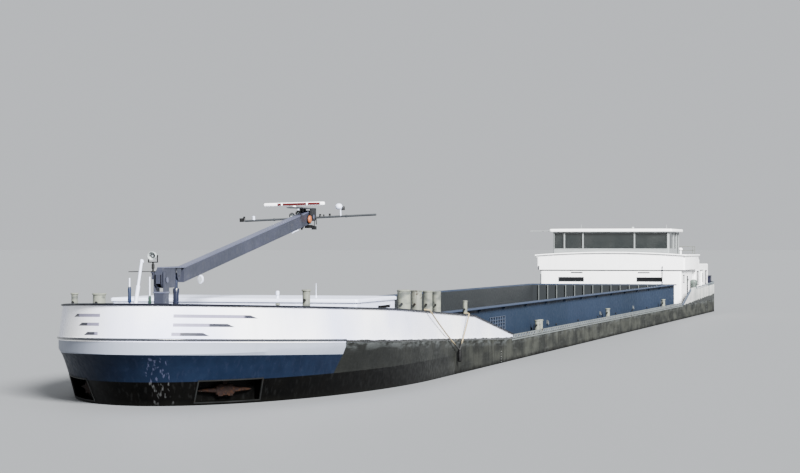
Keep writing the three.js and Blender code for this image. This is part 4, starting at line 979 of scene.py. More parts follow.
# Dark paint for the louvre slats: painted shade for the inside of the slots.
slot_shade_paint = finish("slot_shade_paint", (44, 46, 52), 0.5, mottle=0.1, grime=0.2)
piece("fore_cabin_louvres", bm, slot_shade_paint, "hull")
bm = bmesh.new()
door_x = x0 + 0.0035
block(bm, (door_x, door_x + 0.003), (-0.0395, 0.0395), (deck_at(x0) + 0.009, top - 0.025))
rod(bm, "y", 0.0016, 0.018, 0.03, (door_x - 0.002, 0, 0.55), 1, 10)
for z in (0.5, 0.59):
    rod(bm, "z", 0.0022, z - 0.008, z + 0.008, (door_x - 0.001, -0.038, 0), 1, 10)
piece("fore_cabin_door", bm, [white_paint, worn_steel], "hull", bevel=0.0006)
bm = bmesh.new()
turned(bm, [(0, top - 0.001), (0.007, top - 0.001), (0.0045, top + 0.003), (0.0045, 0.65), (0.0065, 0.651),
            (0.0065, 0.6635), (0.004, 0.6655), (0, 0.666)], (station(1.05), 0.1526, 0))
turned(bm, [(0, top - 0.001), (0.004, top - 0.001), (0.0025, top + 0.006), (0.0011, top + 0.009),
            (0.0009, 0.69), (0, 0.69)], (station(1.2), 0.25, 0), "z", 0, 12)
piece("fore_cabin_roof_fittings", bm, white_paint, "hull", smooth=40)


# Windlass: a steel frame with two chain drums, brake bands, warping heads and a motor, painted navy. The
# chains run forward over the deck, link by link, to their pipes.
WINDLASS_X = station(0.69)
WINDLASS_Z = deck_at(WINDLASS_X)
AXLE_Z = WINDLASS_Z + 0.048
AXLE = (WINDLASS_X, 0, AXLE_Z)
chain_steel = finish("chain_steel", (66, 62, 58), 0.5, metallic=0.5, mottle=0.2, grime=0.3, rust=0.7)
bm = bmesh.new()
for y in (-0.225, 0.225):
    block(bm, (WINDLASS_X - 0.058, WINDLASS_X + 0.058), (y - 0.004, y + 0.004),
          (WINDLASS_Z + 0.0012, WINDLASS_Z + 0.013))
for x in (-0.052, 0.052):
    block(bm, (WINDLASS_X + x - 0.006, WINDLASS_X + x + 0.006), (-0.222, 0.222),
          (WINDLASS_Z + 0.0022, WINDLASS_Z + 0.014))
for y in (-0.18, -0.06, 0.06, 0.18):
    side_plate = [(-0.05, 0.012), (0.05, 0.012), (0.02, 0.05), (0.014, 0.066), (0, 0.07), (-0.014, 0.066),
                  (-0.02, 0.05)]
    loft(bm, [[(WINDLASS_X + x, y + wide, WINDLASS_Z + z) for x, z in side_plate]
              for wide in (-0.004, 0.004)])
rod(bm, "y", 0.009, -0.25, 0.25, AXLE, 1, 24)
for y in (-0.12, 0.12):
    turned(bm, [(0, y - 0.026), (0.032, y - 0.026), (0.032, y - 0.02), (0.022, y - 0.012),
                (0.022, y + 0.004), (0.03, y + 0.01), (0.032, y + 0.012), (0.032, y + 0.026),
                (0, y + 0.026)], AXLE, "y", 0, 36)
    turned(bm, [(0.0322, y + 0.014), (0.0335, y + 0.014), (0.0335, y + 0.024), (0.0322, y + 0.024)],
           AXLE, "y", 1, 36)
for side in (-1, 1):
    turned(bm, [(0, side * 0.193), (0.022, side * 0.193), (0.016, side * 0.203), (0.015, side * 0.216),
                (0.018, side * 0.228), (0.022, side * 0.237), (0, side * 0.237)], AXLE, "y", 0, 32)
block(bm, (WINDLASS_X - 0.034, WINDLASS_X + 0.034), (-0.044, 0.044),
      (WINDLASS_Z + 0.0125, WINDLASS_Z + 0.092))
rod(bm, "x", 0.017, -0.05, -0.034, (WINDLASS_X, 0, WINDLASS_Z + 0.06), 0, 28, 0.003)
for y in (-0.085, 0.085):
    rod(bm, "z", 0.0022, WINDLASS_Z + 0.05, WINDLASS_Z + 0.09, (WINDLASS_X - 0.03, y, 0), 1, 10)
    turned(bm, hoop(0.0105, 0.0015), (WINDLASS_X - 0.03, y, WINDLASS_Z + 0.0915), "z", 1, 20)
piece("windlass_frame", bm, [navy_paint, worn_steel], "hull", ["windlass"], bevel=0.0008)


def chain_tree():
    """A tree that lays links along the curve that it is given, every second one turned on its side."""
    tree, given, result = open_tree("chain", {"Geometry": "Geometry", "Pitch": "Float", "Wire": "Float",
                                              "Paint": "Material"})
    curve, spaced, points, ring, wire, bent, oval, index, place, real, paint = (
        tree.nodes.new("GeometryNode" + kind) for kind in
        ("MeshToCurve", "ResampleCurve", "CurveToPoints", "CurvePrimitiveCircle", "CurvePrimitiveCircle",
         "CurveToMesh", "Transform", "InputIndex", "InstanceOnPoints", "RealizeInstances", "SetMaterial"))
    align = tree.nodes.new("FunctionNodeAlignRotationToVector")
    roll = tree.nodes.new("FunctionNodeRotateRotation")
    spaced.mode = "LENGTH"
    points.mode = "EVALUATED"
    ring.inputs["Resolution"].default_value = 12
    wire.inputs["Resolution"].default_value = 6
    oval.inputs["Scale"].default_value = (1.0, 0.62, 1.0)
    align.axis = "X"
    roll.rotation_space = "LOCAL"
    tree.links.new(maths(tree, "MULTIPLY", given.outputs["Pitch"], 0.68), ring.inputs["Radius"])
    quarter = maths(tree, "MULTIPLY", index.outputs[0], math.pi / 2)
    tree.links.new(node(tree, "CombineXYZ", {"X": quarter}).outputs[0], roll.inputs["Rotate By"])
    join(tree, ((given, "Geometry", curve, "Mesh"), (curve, "Curve", spaced, "Curve"),
                (given, "Pitch", spaced, "Length"), (given, "Wire", wire, "Radius"),
                (ring, "Curve", bent, "Curve"), (wire, "Curve", bent, "Profile Curve"),
                (bent, "Mesh", oval, "Geometry"), (spaced, "Curve", points, "Curve"),
                (points, "Points", place, "Points"), (oval, "Geometry", place, "Instance"),
                (points, "Tangent", align, "Vector"), (align, "Rotation", roll, "Rotation"),
                (roll, 0, place, "Rotation"), (place, "Instances", real, "Geometry"),
                (real, "Geometry", paint, "Geometry"), (given, "Paint", paint, "Material"),
                (paint, "Geometry", result, "Geometry")))
    return tree


CHAIN = chain_tree()


def chain(name, points, pitch, wire, body, material):
    """Links laid along a line of points."""
    bm = bmesh.new()
    knots = [bm.verts.new(point) for point in points]
    for pair in zip(knots, knots[1:]):
        bm.edges.new(pair)
    made = in_scene(name, bm)
    plain_mesh(made, CHAIN, {"Pitch": pitch, "Wire": wire, "Paint": material})
    made.data.shade_smooth()
    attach(made, body)


for side, name in SIDES:
    line = []
    for i in range(30):
        share = i / 29
        x = WINDLASS_X + 0.024 + 0.21 * share
        drop = AXLE_Z + 0.021 - (AXLE_Z + 0.021 - WINDLASS_Z - 0.006) * min(1.0, share / 0.55) ** 0.8
        line.append((x, side * (0.12 + 0.03 * share), max(drop, deck_at(x) + 0.0055)))
    chain(f"anchor_chain_{name}", line, 0.0105, 0.0019, "hull", chain_steel)
    bm = bmesh.new()
    pipe = (WINDLASS_X + 0.236, side * 0.15, 0)
    foot = deck_at(pipe[0])
    turned(bm, [(0.013, foot), (0.02, foot + 0.001), (0.02, foot + 0.012), (0.0175, foot + 0.0145),
                (0.013, foot + 0.012), (0.013, foot)], pipe, "z", 0, 28)
    piece(f"chain_pipe_{name}", bm, navy_paint, "hull", smooth=50)


# Anchors: stockless, of forged iron, brown with rust, housed in the dark pockets of the bow. A flat bar that
# is welded to the plating frames each pocket.
rust_iron = finish("rust_iron", (66, 45, 40), 0.75, mottle=0.3, grime=0.4, streaks=0.3, rust=0.5, grain=0.6,
                   scale=3, shine=0.1)
frame_paint = finish("frame_paint", (76, 78, 78), mottle=0.4, grime=0.5, rust=0.1, scale=4, shine=0.1)
ANCHOR_IN = POCKET["depth"] - 0.012 - GAP
for side, name in SIDES:
    bm = bmesh.new()
    fluke = [(0.006, 0.012), (0.026, 0.016), (0.05, 0.0135), (0.078, 0.0095), (0.104, 0.003),
             (0.098, -0.004), (0.075, -0.009), (0.045, -0.0145), (0.02, -0.017), (0.006, -0.014)]
    for out in (1, -1):
        ends = []
        for share, y in ((0.45, -0.0105), (0.92, -0.006), (1.0, 0.0), (0.92, 0.006), (0.45, 0.0105)):
            ends.append([(out * (0.055 + (x - 0.055) * share), y, z * share * 0.62) for x, z in fluke])
        loft(bm, ends)
    turned(bm, [(0, -0.034), (0.014, -0.034), (0.0185, -0.026), (0.0195, 0.0), (0.0185, 0.026),
                (0.014, 0.034), (0, 0.034)], (0, 0, 0), "x", 0, 20)
    for vert in bm.verts:
        vert.co.y = max(-0.0118, min(0.0118, vert.co.y))
    block(bm, (-0.0085, 0.0085), (-0.008, 0.008), (-0.004, 0.0325))
    for cheek in ((-0.027, -0.0095), (0.0095, 0.027)):
        block(bm, cheek, (-0.0116, 0.0116), (-0.0185, 0.019))
    turned(bm, hoop(0.0075, 0.0022), (0, 0.0, 0.0232), "y", 0, 20)
    x = station(POCKET["aft"]) - ANCHOR_IN * math.sin(POCKET["turn"])
    y = side * (POCKET["y"] - ANCHOR_IN * math.cos(POCKET["turn"]))
    turn = Matrix.Rotation(-side * POCKET["turn"], 4, "Z")
    bm.transform(Matrix.Translation((x, y, sum(POCKET["z"]) / 2)) @ turn)
    piece(f"anchor_{name}_forging", bm, rust_iron, "hull", [f"anchor_{name}"], smooth=50,
          bevel=0.001)


def on_bow(side, along, z, out):
    """A point on the bow's plating, at a distance along the pocket and a height, moved outwards."""
    local = pocket_frame(side).inverted()
    near, far = 0.0, math.pi / 2
    for _ in range(30):
        angle = (near + far) / 2
        if (local @ Vector(bow_point(z, side * angle))).x > along:
            near = angle
        else:
            far = angle
    here, next_to = (Vector(bow_point(z, side * value)) for value in (near, near + 0.01))
    step = next_to - here
    outward = Vector((side * step.y, -side * step.x, 0)).normalized()
    return here + outward * out


for side, name in SIDES:
    half, (low, high) = POCKET["half"], POCKET["z"]
    corners = [(-1, -1), (1, -1), (1, 1), (-1, 1)]
    rings = []
    for i, (start, end) in enumerate(zip(corners, corners[1:] + corners[:1])):
        count = 3 if i % 2 else 12
        for k in range(count):
            share = k / count
            across = start[0] + (end[0] - start[0]) * share
            up = start[1] + (end[1] - start[1]) * share
            ring = []
            for wide, out in ((-0.0004, -0.002), (0.004, -0.002), (0.004, 0.0022), (-0.0004, 0.0022)):
                z = (low + high) / 2 + up * ((high - low) / 2 + wide)
                ring.append(on_bow(side, across * (half + wide), z, out))
            rings.append(ring)
    bm = bmesh.new()
    loft(bm, rings + [rings[0]], ends=False)
    bmesh.ops.remove_doubles(bm, verts=bm.verts, dist=1e-6)
    piece(f"pocket_frame_{name}", bm, frame_paint, "hull", smooth=30)


# Radar mast: a box girder of welded steel with a flange along its top and a cranked heel, hinged between two
# cheeks on a pedestal. Its cylinder works in a notch under the crank. Painted grey-violet, with the flange
# and the top plates paler as a painted highlight of the light from above.
PIVOT = Vector((5.185, 0, 0.714))
BOOM = {"heel": 0.18, "length": 1.59, "depth": 0.052, "heel_top": 0.042, "web": 0.0108, "flange": 0.012}
BOOM_RISE = math.tan(math.radians(8.5))


def mast_bands(tree, coords):
    """Grey-violet paint, chalky in patches, with a few scrapes down to the primer."""
    chalky = span(tree, noise(tree, coords, 9, 5.0), 0.38, 0.66)
    base = mixed(tree, chalky, rgb(114, 120, 139), rgb(126, 131, 150))
    scraped = span(tree, noise(tree, coords, 60, 4.0, (0.5, 1, 1), (3, 3, 7)), 0.62, 0.68)
    return mixed(tree, maths(tree, "MULTIPLY", scraped, 0.2), base, rgb(160, 158, 160))


mast_paint = finish("mast_paint", (122, 127, 147), 0.42, mottle=0.06, grime=0.06, streaks=0.04, shine=0.2,
                    bands=mast_bands)
# Paler paint for the girder's top flange, the top plates of the heel, the pedestal and the head, and the
# keeper plates. On the tops it is a painted highlight for the light from above.
pale_paint_and_highlight = finish("pale_paint_and_highlight", (166, 170, 188), 0.4, mottle=0.1, grime=0.14, streaks=0.0, rust=0.1)


def boom_top(along):
    """Height of the girder's top over the hinge, which rises forward of its level heel."""
    return BOOM["heel_top"] + max(0.0, along - BOOM["heel"]) * BOOM_RISE


def prism(bm, outline, y0, y1, paint=0, origin=(0, 0, 0)):
    """An outline drawn in (x, z), carried across the ship."""
    return loft(bm, [[(origin[0] + x, y, origin[2] + z) for x, z in outline] for y in (y0, y1)], paint)


def drilled(bm, outline, y0, y1, hole, radius, paint=0, origin=(0, 0, 0), steps=24):
    """A plate on edge with a round hole through it."""
    faces = []
    rings = []
    for y in (y0, y1):
        outer = [bm.verts.new((origin[0] + x, y, origin[2] + z)) for x, z in outline]
        inner = [bm.verts.new((origin[0] + hole[0] + radius * math.cos(2 * math.pi * i / steps), y,
                               origin[2] + hole[1] + radius * math.sin(2 * math.pi * i / steps)))
                 for i in range(steps)]
        edges = [bm.edges.new((ring[i], ring[(i + 1) % len(ring)])) for ring in (outer, inner)
                 for i in range(len(ring))]
        made = bmesh.ops.triangle_fill(bm, use_beauty=True, use_dissolve=False, edges=edges)
        faces += [item for item in made["geom"] if isinstance(item, bmesh.types.BMFace)]
        rings.append((outer, inner))
    for near, far in zip(*rings):
        for i in range(len(near)):
            j = (i + 1) % len(near)
            faces.append(bm.faces.new((near[i], near[j], far[j], far[i])))
    for face in faces:
        face.material_index = paint
    return faces


bm = bmesh.new()
heel, end, depth = BOOM["heel"], BOOM["length"], BOOM["depth"]
arm = [(-heel + 0.003, boom_top(heel) - 0.002), (-end, boom_top(end) - 0.002),
       (-end, boom_top(end) - depth + 0.001), (-heel + 0.003, boom_top(heel) - depth + 0.001)]
prism(bm, arm, -BOOM["web"], BOOM["web"], 0, PIVOT)
for rise, thick, paint in ((0.0, -0.0055, 1), (-depth, 0.002, 0)):
    strip = [(-heel + 0.006, boom_top(heel) + rise), (-end, boom_top(end) + rise),
             (-end, boom_top(end) + rise + thick), (-heel + 0.006, boom_top(heel) + rise + thick)]
    prism(bm, strip, -BOOM["flange"], BOOM["flange"], paint, PIVOT)
tip_top, tip_foot = boom_top(end), boom_top(end) - depth
prism(bm, [(-end, tip_top), (-end, tip_foot), (0.003 - end, tip_foot), (0.003 - end, tip_top)], -0.012,
      0.012, 0, PIVOT)
piece("mast_girder", bm, [mast_paint, pale_paint_and_highlight], "mast", ["mast_boom"], bevel=0.0005)
bm = bmesh.new()
cheek = [(0.03, -0.012), (0.03, 0.018), (0.026, 0.0255), (0.008, 0.0395), (-0.098, 0.0395), (-0.098, -0.026),
         (0.018, -0.026)]
for y in (0.0075, -0.0115):
    drilled(bm, cheek, y, y + 0.004, (0, 0), 0.0076, 0, PIVOT)
lug = [(-0.114, 0.0385), (-0.158, 0.0385), (-0.147, 0.004), (-0.141, -0.001), (-0.129, -0.001),
       (-0.123, 0.004)]
for y in (0.0075, -0.0095):
    prism(bm, lug, y, y + 0.002, 0, PIVOT)
top_plate = [(0.004, 0.0385), (0.0035, 0.042), (-0.192, 0.0438), (-0.192, 0.0385)]
prism(bm, top_plate, -0.0135, 0.0135, 1, PIVOT)
nose = [(0.027, -0.012), (0.03, -0.012), (0.03, 0.018), (0.008, 0.0402), (0.0055, 0.0395), (0.027, 0.0175)]
crank = [(-0.19, 0.04), (-0.176, 0.04), (-0.176, -0.0085), (-0.19, -0.0065)]
under_plate = [(0.017, -0.0258), (-0.098, -0.0258), (-0.098, -0.0228), (0.017, -0.0228)]
aft_plate = [(-0.095, -0.0255), (-0.098, -0.0255), (-0.098, 0.039), (-0.095, 0.039)]
for outline in (nose, crank, under_plate, aft_plate):
    prism(bm, outline, -0.0112, 0.0112, 0, PIVOT)
rod(bm, "y", 0.0034, -0.0105, 0.0105, PIVOT + Vector((-0.135, 0, 0.012)), 2, 16, 0.0005)
piece("mast_heel", bm, [mast_paint, pale_paint_and_highlight, worn_steel], "mast", bevel=0.0005)


def tube(bm, points, radius, paint=0, steps=10):
    """A round bar or pipe through points, mitred where it bends."""
    rings = []
    points = [Vector(point) for point in points]
    side = None
    for i, point in enumerate(points):
        before = (point - points[i - 1]).normalized() if i else (points[1] - point).normalized()
        after = (points[i + 1] - point).normalized() if i + 1 < len(points) else before
        tangent = (before + after).normalized()
        if side is None:
            side = tangent.orthogonal().normalized()
        side = (side - tangent * side.dot(tangent)).normalized()
        up = tangent.cross(side)
        stretch = 1 / max(0.4, tangent.dot(before))
        mitre = after - before
        ring = []
        for k in range(steps):
            angle = 2 * math.pi * k / steps
            offset = side * math.cos(angle) + up * math.sin(angle)
            if mitre.length > 1e-6:
                bend = mitre.normalized()
                offset = offset + bend * offset.dot(bend) * (stretch - 1)
            ring.append(point + offset * radius)
        rings.append(ring)
    return loft(bm, rings, paint)


# Girder lamp: an oval lamp under the girder's heel, hung on a short bracket. A white metal rim holds its
# moulded lens.
bm = bmesh.new()
lamp_at = PIVOT + Vector((-0.335, 0.012, 0.0055))
under = lamp_at.z + boom_top(0.335) - BOOM["depth"]
rim = [(0.009 * math.cos(2 * math.pi * i / 20), 0.0145 * math.sin(2 * math.pi * i / 20)) for i in range(20)]
for start, end_x, scale, paint in ((-0.006, 0.006, 1.0, 0), (0.0055, 0.0075, 0.78, 1)):
    loft(bm, [[(lamp_at.x + x, lamp_at.y + y * scale, under - 0.021 + z * scale) for y, z in rim]
              for x in (start, end_x)], paint)
rod(bm, "z", 0.0028, under - 0.014, under - 0.0045, (lamp_at.x, lamp_at.y * 0.5, 0), 0, 12)
lens_paint = finish("lens_paint", (222, 224, 226), 0.12, mottle=0.03, grime=0.05, streaks=0.0, coat=0.6)
piece("mast_lamp", bm, [white_paint, lens_paint], "mast", smooth=50, bevel=0.0005)


# Pedestal: a column of steel plate on a bolted base, two cheeks for the hinge and a round pin with keeper
# plates.
bm = bmesh.new()
base_top = PIVOT.z - 0.186
foot = [deck_at(PIVOT.x + x) + 0.0006 for x in (-0.044, 0.044)]
prism(bm, [(-0.044, foot[0] - PIVOT.z), (0.044, foot[1] - PIVOT.z), (0.044, -0.186), (-0.044, -0.186)],
      -0.042, 0.042, 0, PIVOT)
column = [(0.022, 0.016), (0.019, 0.019), (-0.019, 0.019), (-0.022, 0.016), (-0.022, -0.016),
          (-0.019, -0.019), (0.019, -0.019), (0.022, -0.016)]
loft(bm, [[(PIVOT.x + x, y, z) for x, y in column] for z in (base_top - 0.002, PIVOT.z - 0.0425)])
block(bm, (PIVOT.x - 0.024, PIVOT.x + 0.024), (-0.021, 0.021), (PIVOT.z - 0.043, PIVOT.z - 0.038), 1)
ear = [(-0.022, -0.0385), (0.022, -0.0385), (0.022, 0.02), (0.018, 0.026), (-0.012, 0.026), (-0.019, 0.021),
       (-0.022, 0.012)]
for y in (0.0142, -0.019):
    drilled(bm, ear, y, y + 0.0048, (0, 0), 0.0066, 0, PIVOT)
rod(bm, "y", 0.0066, -0.0202, 0.0202, PIVOT, 2, 24, 0.0006)
for y in (0.0202, -0.0216):
    rod(bm, "y", 0.0105, y, y + 0.0014, PIVOT, 1, 6)
block(bm, (PIVOT.x + 0.007, PIVOT.x + 0.029), (-0.026, -0.0185), (PIVOT.z + 0.0215, PIVOT.z + 0.026))
prism(bm, [(0.014, 0.0215), (0.022, 0.0215), (0.022, 0.002)], -0.0255, -0.0185, 0, PIVOT)
for x in (1, -1):
    for y in (1, -1):
        gusset = [(0, 0), (0.018, 0), (0.0, 0.045)]
        loft(bm, [[(PIVOT.x + x * (0.0215 + dx), y * 0.012 + wide, base_top - 0.0005 + dz)
                   for dx, dz in gusset] for wide in (-0.0015, 0.0015)])
        loft(bm, [[(PIVOT.x + x * 0.012 + wide, y * (0.0185 + dy), base_top - 0.0005 + dz)
                   for dy, dz in gusset] for wide in (-0.0015, 0.0015)])
piece("mast_foot", bm, [mast_paint, pale_paint_and_highlight, worn_steel], "hull", ["mast_pedestal"],
      bevel=0.0007)
bm = bmesh.new()
turned(bm, [(0, 0), (0.0052, 0), (0.0052, 0.0014), (0.003, 0.0014), (0.003, 0.0058), (0, 0.0058)],
       (0, 0, 0), "z", 0, 6)
for number, (x, y) in enumerate(((-0.036, -0.034), (0.036, -0.034), (-0.036, 0.034), (0.036, 0.034))):
    bolt = bm.copy()
    bmesh.ops.translate(bolt, vec=(PIVOT.x + x, y, base_top - 0.0002), verts=bolt.verts)
    piece(f"mast_foot_bolt_{number}", bolt, worn_steel, "hull", smooth=30)
bm.free()


# Cylinder: a blue barrel with a screwed gland and a bright rod, on a pin between two lugs. Its oil pipes are
# bent steel tube, painted, clipped to the pedestal's base.
FOOT = Vector((5.06, 0, 0.545))
EYE = Vector((5.05, 0, 0.726))
LEAN = math.atan2(EYE.x - FOOT.x, EYE.z - FOOT.z)
strut = Matrix.Translation(FOOT) @ Matrix.Rotation(LEAN, 4, "Y")
barrel_blue = finish("barrel_blue", (58, 70, 112), 0.34, mottle=0.1, grime=0.16, streaks=0.1,
                     rust=0.08, coat=0.2)
bright_rod = finish("bright_rod", (128, 138, 162), 0.22, metallic=0.5, mottle=0.04, grime=0.06, streaks=0.03)
bm = bmesh.new()
turned(bm, [(0, 0.011), (0.0085, 0.011), (0.0098, 0.014), (0.0098, 0.125), (0.0106, 0.1255),
            (0.0106, 0.1385), (0.0098, 0.14), (0.0066, 0.14), (0.0066, 0.016), (0, 0.016)],
       (0, 0, 0), "z", 0, 32)
turned(bm, [(0.0044, -0.006), (0.012, -0.006), (0.012, 0.006), (0.0044, 0.006), (0.0044, -0.006)],
       (0, 0, 0), "y", 0, 28)
for z in (0.026, 0.116):
    rod(bm, "x", 0.0036, -0.0142, -0.009, (0, 0, z), 1, 12)
    rod(bm, "x", 0.0046, -0.0146, -0.0116, (0, 0, z), 1, 6)
bm.transform(strut)
piece("mast_cylinder_barrel", bm, [barrel_blue, worn_steel], "cylinder_barrel",
      ["mast_cylinder"], smooth=40)
bm = bmesh.new()
ROD_FOOT = 0.038 - (EYE - FOOT).length
turned(bm, [(0, ROD_FOOT), (0.0058, ROD_FOOT), (0.0058, -0.0105), (0.007, -0.0095),
            (0.007, -0.008), (0, -0.008)], (0, 0, 0), "z", 0, 28)
turned(bm, [(0.0084, -0.006), (0.0112, -0.006), (0.0112, 0.006), (0.0084, 0.006), (0.0084, -0.006)],
       (0, 0, 0), "y", 1, 28)
bm.transform(Matrix.Translation(EYE) @ Matrix.Rotation(LEAN, 4, "Y"))
piece("mast_cylinder_bright_rod", bm, [bright_rod, barrel_blue], "cylinder_rod",
      ["mast_cylinder_rod"], smooth=40)
bm = bmesh.new()
seat_foot = [deck_at(FOOT.x + x) + 0.0006 - FOOT.z for x in (-0.024, 0.024)]
prism(bm, [(-0.024, seat_foot[0]), (0.024, seat_foot[1]), (0.024, -0.03), (-0.024, -0.03)], -0.024,
      0.024, 0, FOOT)
lug = [(-0.012, -0.031), (0.012, -0.031), (0.012, 0.002), (0.0085, 0.0105), (0.003, 0.014), (-0.003, 0.014),
       (-0.0085, 0.0105), (-0.012, 0.002)]
for y in (0.012, -0.018):
    drilled(bm, lug, y, y + 0.006, (0, 0), 0.004, 0, FOOT, 18)
rod(bm, "y", 0.004, -0.0185, 0.0185, FOOT, 1, 16, 0.0004)
for y in (0.0182, -0.0196):
    rod(bm, "y", 0.0062, y, y + 0.0014, FOOT, 1, 6)
piece("mast_cylinder_lugs", bm, [mast_paint, worn_steel], "hull", ["mast_cylinder_seat"],
      bevel=0.0005)
bm = bmesh.new()
for number, y in enumerate((0.040, 0.047)):
    deck_z = deck_at(4.95)
    points = [(4.93, y, deck_z + 0.001), (4.93, y, deck_z + 0.035), (4.938, y, deck_z + 0.045),
              (5.10, y, 0.565 + 0.008 * number), (5.112, y, 0.575 + 0.008 * number), (5.118, y, 0.60),
              (5.128, y, 0.61), (5.16, y, 0.612), (5.168, y - 0.003, 0.612)]
    tube(bm, points, 0.0021)
for x in (4.93, 5.04):
    block(bm, (x - 0.004, x + 0.004), (0.0365, 0.0505), (deck_at(x) + 0.0008, deck_at(x) + 0.012), 1)
piece("mast_oil_pipes", bm, [navy_paint, worn_steel], "hull", smooth=50)


# Mast head, kept level: a bracket with the radar's gearbox, a crossarm of steel pipe with its lamps, a white
# dome, a horn and loud-hailers. The scanner is a white moulded bar with two red stripes.
HEAD = Vector((3.607, 0, 0.9407))
signal_black = finish("signal_black", (30, 31, 34), 0.5, mottle=0.08, grime=0.15, streaks=0.0)
signal_orange = finish("signal_orange", (220, 172, 116), 0.42, mottle=0.08, grime=0.12, streaks=0.05)
lamp_grey = finish("lamp_grey", (226, 228, 228), 0.32, mottle=0.08, grime=0.12, streaks=0.08, coat=0.1)
gear_grey = finish("gear_grey", (146, 149, 155), 0.42, mottle=0.08, grime=0.15)
head_grey = finish("head_grey", (88, 90, 97), mottle=0.1, grime=0.15, shine=0.15)
bm = bmesh.new()
side_plate = [(-0.04, 0.034), (-0.04, -0.004), (-0.028, -0.016), (0.008, -0.016), (0.02, -0.004),
              (0.02, 0.034)]
for y in (0.017, -0.025):
    prism(bm, side_plate, y, y + 0.008, 0, HEAD)
rod(bm, "y", 0.006, -0.0265, 0.0265, HEAD, 3, 20, 0.0006)
for y in (-0.028, 0.0266):
    rod(bm, "y", 0.0095, y, y + 0.0014, HEAD, 1, 6)
prism(bm, [(-0.04, 0.032), (0.186, 0.032), (0.19, 0.0335), (0.19, 0.036), (-0.04, 0.036)], -0.025,
      0.025, 2, HEAD)
casing = [(0.142, 0.0312), (0.186, 0.0312), (0.186, 0.0355), (0.183, 0.037), (0.145, 0.037), (0.142, 0.0355)]
prism(bm, casing, -0.02, 0.02, 2, HEAD)
piece("mast_head_bracket", bm, [head_grey, pale_paint_and_highlight, gear_grey, worn_steel], "mast_top",
      ["mast_head"], bevel=0.0005)

ARM = HEAD + Vector((-0.038, 0, -0.003))
ARM_LIST = math.radians(2.5)
LIST = math.radians(1.3)


def merged(bm, part):
    """Adds a part to a mesh."""
    mesh = bpy.data.meshes.new("part")
    part.to_mesh(mesh)
    part.free()
    bm.from_mesh(mesh)
    bpy.data.meshes.remove(mesh)


def listed(bm, angle):
    """The crossarm and the scanner hang a little down to starboard."""
    turn = Matrix.Translation(HEAD) @ Matrix.Rotation(angle, 4, "X") @ Matrix.Translation(-HEAD)
    bm.transform(turn)


arm_grey = finish("arm_grey", (138, 142, 146), 0.4, metallic=0.2, mottle=0.1, grime=0.2)
bm = bmesh.new()
rod(bm, "y", 0.0042, -0.273, 0.273, ARM, 0, 16, 0.0006)
for y in (-0.022, 0.022, -0.15, 0.15):
    rod(bm, "y", 0.0056, y - 0.0035, y + 0.0035, ARM, 0, 16, 0.0006)
listed(bm, ARM_LIST)
piece("mast_head_crossarm", bm, arm_grey, "mast_top", smooth=40)
bm = bmesh.new()
for y, paint, radius, tall in ((-0.276, 0, 0.0045, 0.0185), (-0.236, 1, 0.0056, 0.0185),
                               (0.042, 0, 0.0045, 0.0135), (0.057, 0, 0.0035, 0.0115),
                               (0.082, 0, 0.0045, 0.0135)):
    at = (ARM.x, ARM.y + y, ARM.z)
    turned(bm, [(0, 0.0035), (radius, 0.0035), (radius, 0.0055), (radius * 0.88, 0.006),
                (radius * 0.88, tall - 0.004), (radius, tall - 0.0035), (radius, tall - 0.0015),
                (radius * 0.5, tall), (0, tall + 0.0002)], at, "z", paint, 20)
block(bm, (ARM.x - 0.007, ARM.x + 0.007), (-0.294, -0.28), (ARM.z - 0.003, ARM.z + 0.012))
rod(bm, "y", 0.0022, -0.284, -0.27, ARM, 0, 8)
rod(bm, "z", 0.0026, 0.0035, 0.03, (ARM.x, 0.127, ARM.z), 1, 12)
turned(bm, [(0, 0.0282), (0.0085, 0.0285), (0.013, 0.033), (0.014, 0.038), (0.0132, 0.0435), (0.0102, 0.048),
            (0.005, 0.0508), (0, 0.0512)], (ARM.x, 0.121, ARM.z), "z", 1, 28)
rod(bm, "y", 0.0018, 0.126, 0.138, ARM + Vector((0, 0, 0.026)), 0, 8)
turned(bm, [(0, 0.024), (0.0052, 0.024), (0.0055, 0.028), (0.0055, 0.036), (0.0038, 0.0395), (0, 0.04)],
       (ARM.x, 0.14, ARM.z), "z", 0, 16)
listed(bm, ARM_LIST)
piece("mast_head_lamps", bm, [signal_black, white_paint], "mast_top", smooth=50)
bm = bmesh.new()
HORN = HEAD + Vector((0.025, 0, -0.01))
turned(bm, [(0, 0.014), (0.0125, 0.014), (0.015, 0.0155), (0.0155, 0.018), (0.0145, 0.0212),
            (0.0115, 0.0235), (0.006, 0.0248), (0, 0.025)], HORN, "y", 0, 32)
turned(bm, [(0.0128, 0.0128), (0.0162, 0.0128), (0.0162, 0.0142), (0.0128, 0.0142), (0.0128, 0.0128)],
       HORN, "y", 1, 32)
for y, z, radius in ((-0.073, 0.006, 0.0125), (-0.048, 0.0155, 0.0115)):
    ring = bmesh.new()
    turned(ring, hoop(radius - 0.0028, 0.0028), (0, 0, 0), "x", 1, 28)
    turned(ring, [(radius - 0.003, -0.001), (radius * 0.4, -0.014), (0, -0.014), (0, -0.0125),
                  (radius * 0.34, -0.0125), (radius - 0.0045, -0.001), (radius - 0.003, -0.001)],
           (0, 0, 0), "x", 3, 28)
    turn = Matrix.Rotation(math.radians(40), 4, "Z")
    ring.transform(Matrix.Translation(HEAD + Vector((-0.03, y, z))) @ turn)
    merged(bm, ring)
    tube(bm, [HEAD + Vector((-0.038, y, 0.002)), HEAD + Vector((-0.036, y, z - radius + 0.001))],
         0.0016, 1, 8)
block(bm, (HEAD.x - 0.034, HEAD.x - 0.01), (-0.014, 0.012), (HEAD.z - 0.044, HEAD.z - 0.031), 1)
block(bm, (HEAD.x - 0.03, HEAD.x - 0.012), (0.014, 0.03), (HEAD.z - 0.05, HEAD.z - 0.036), 1)
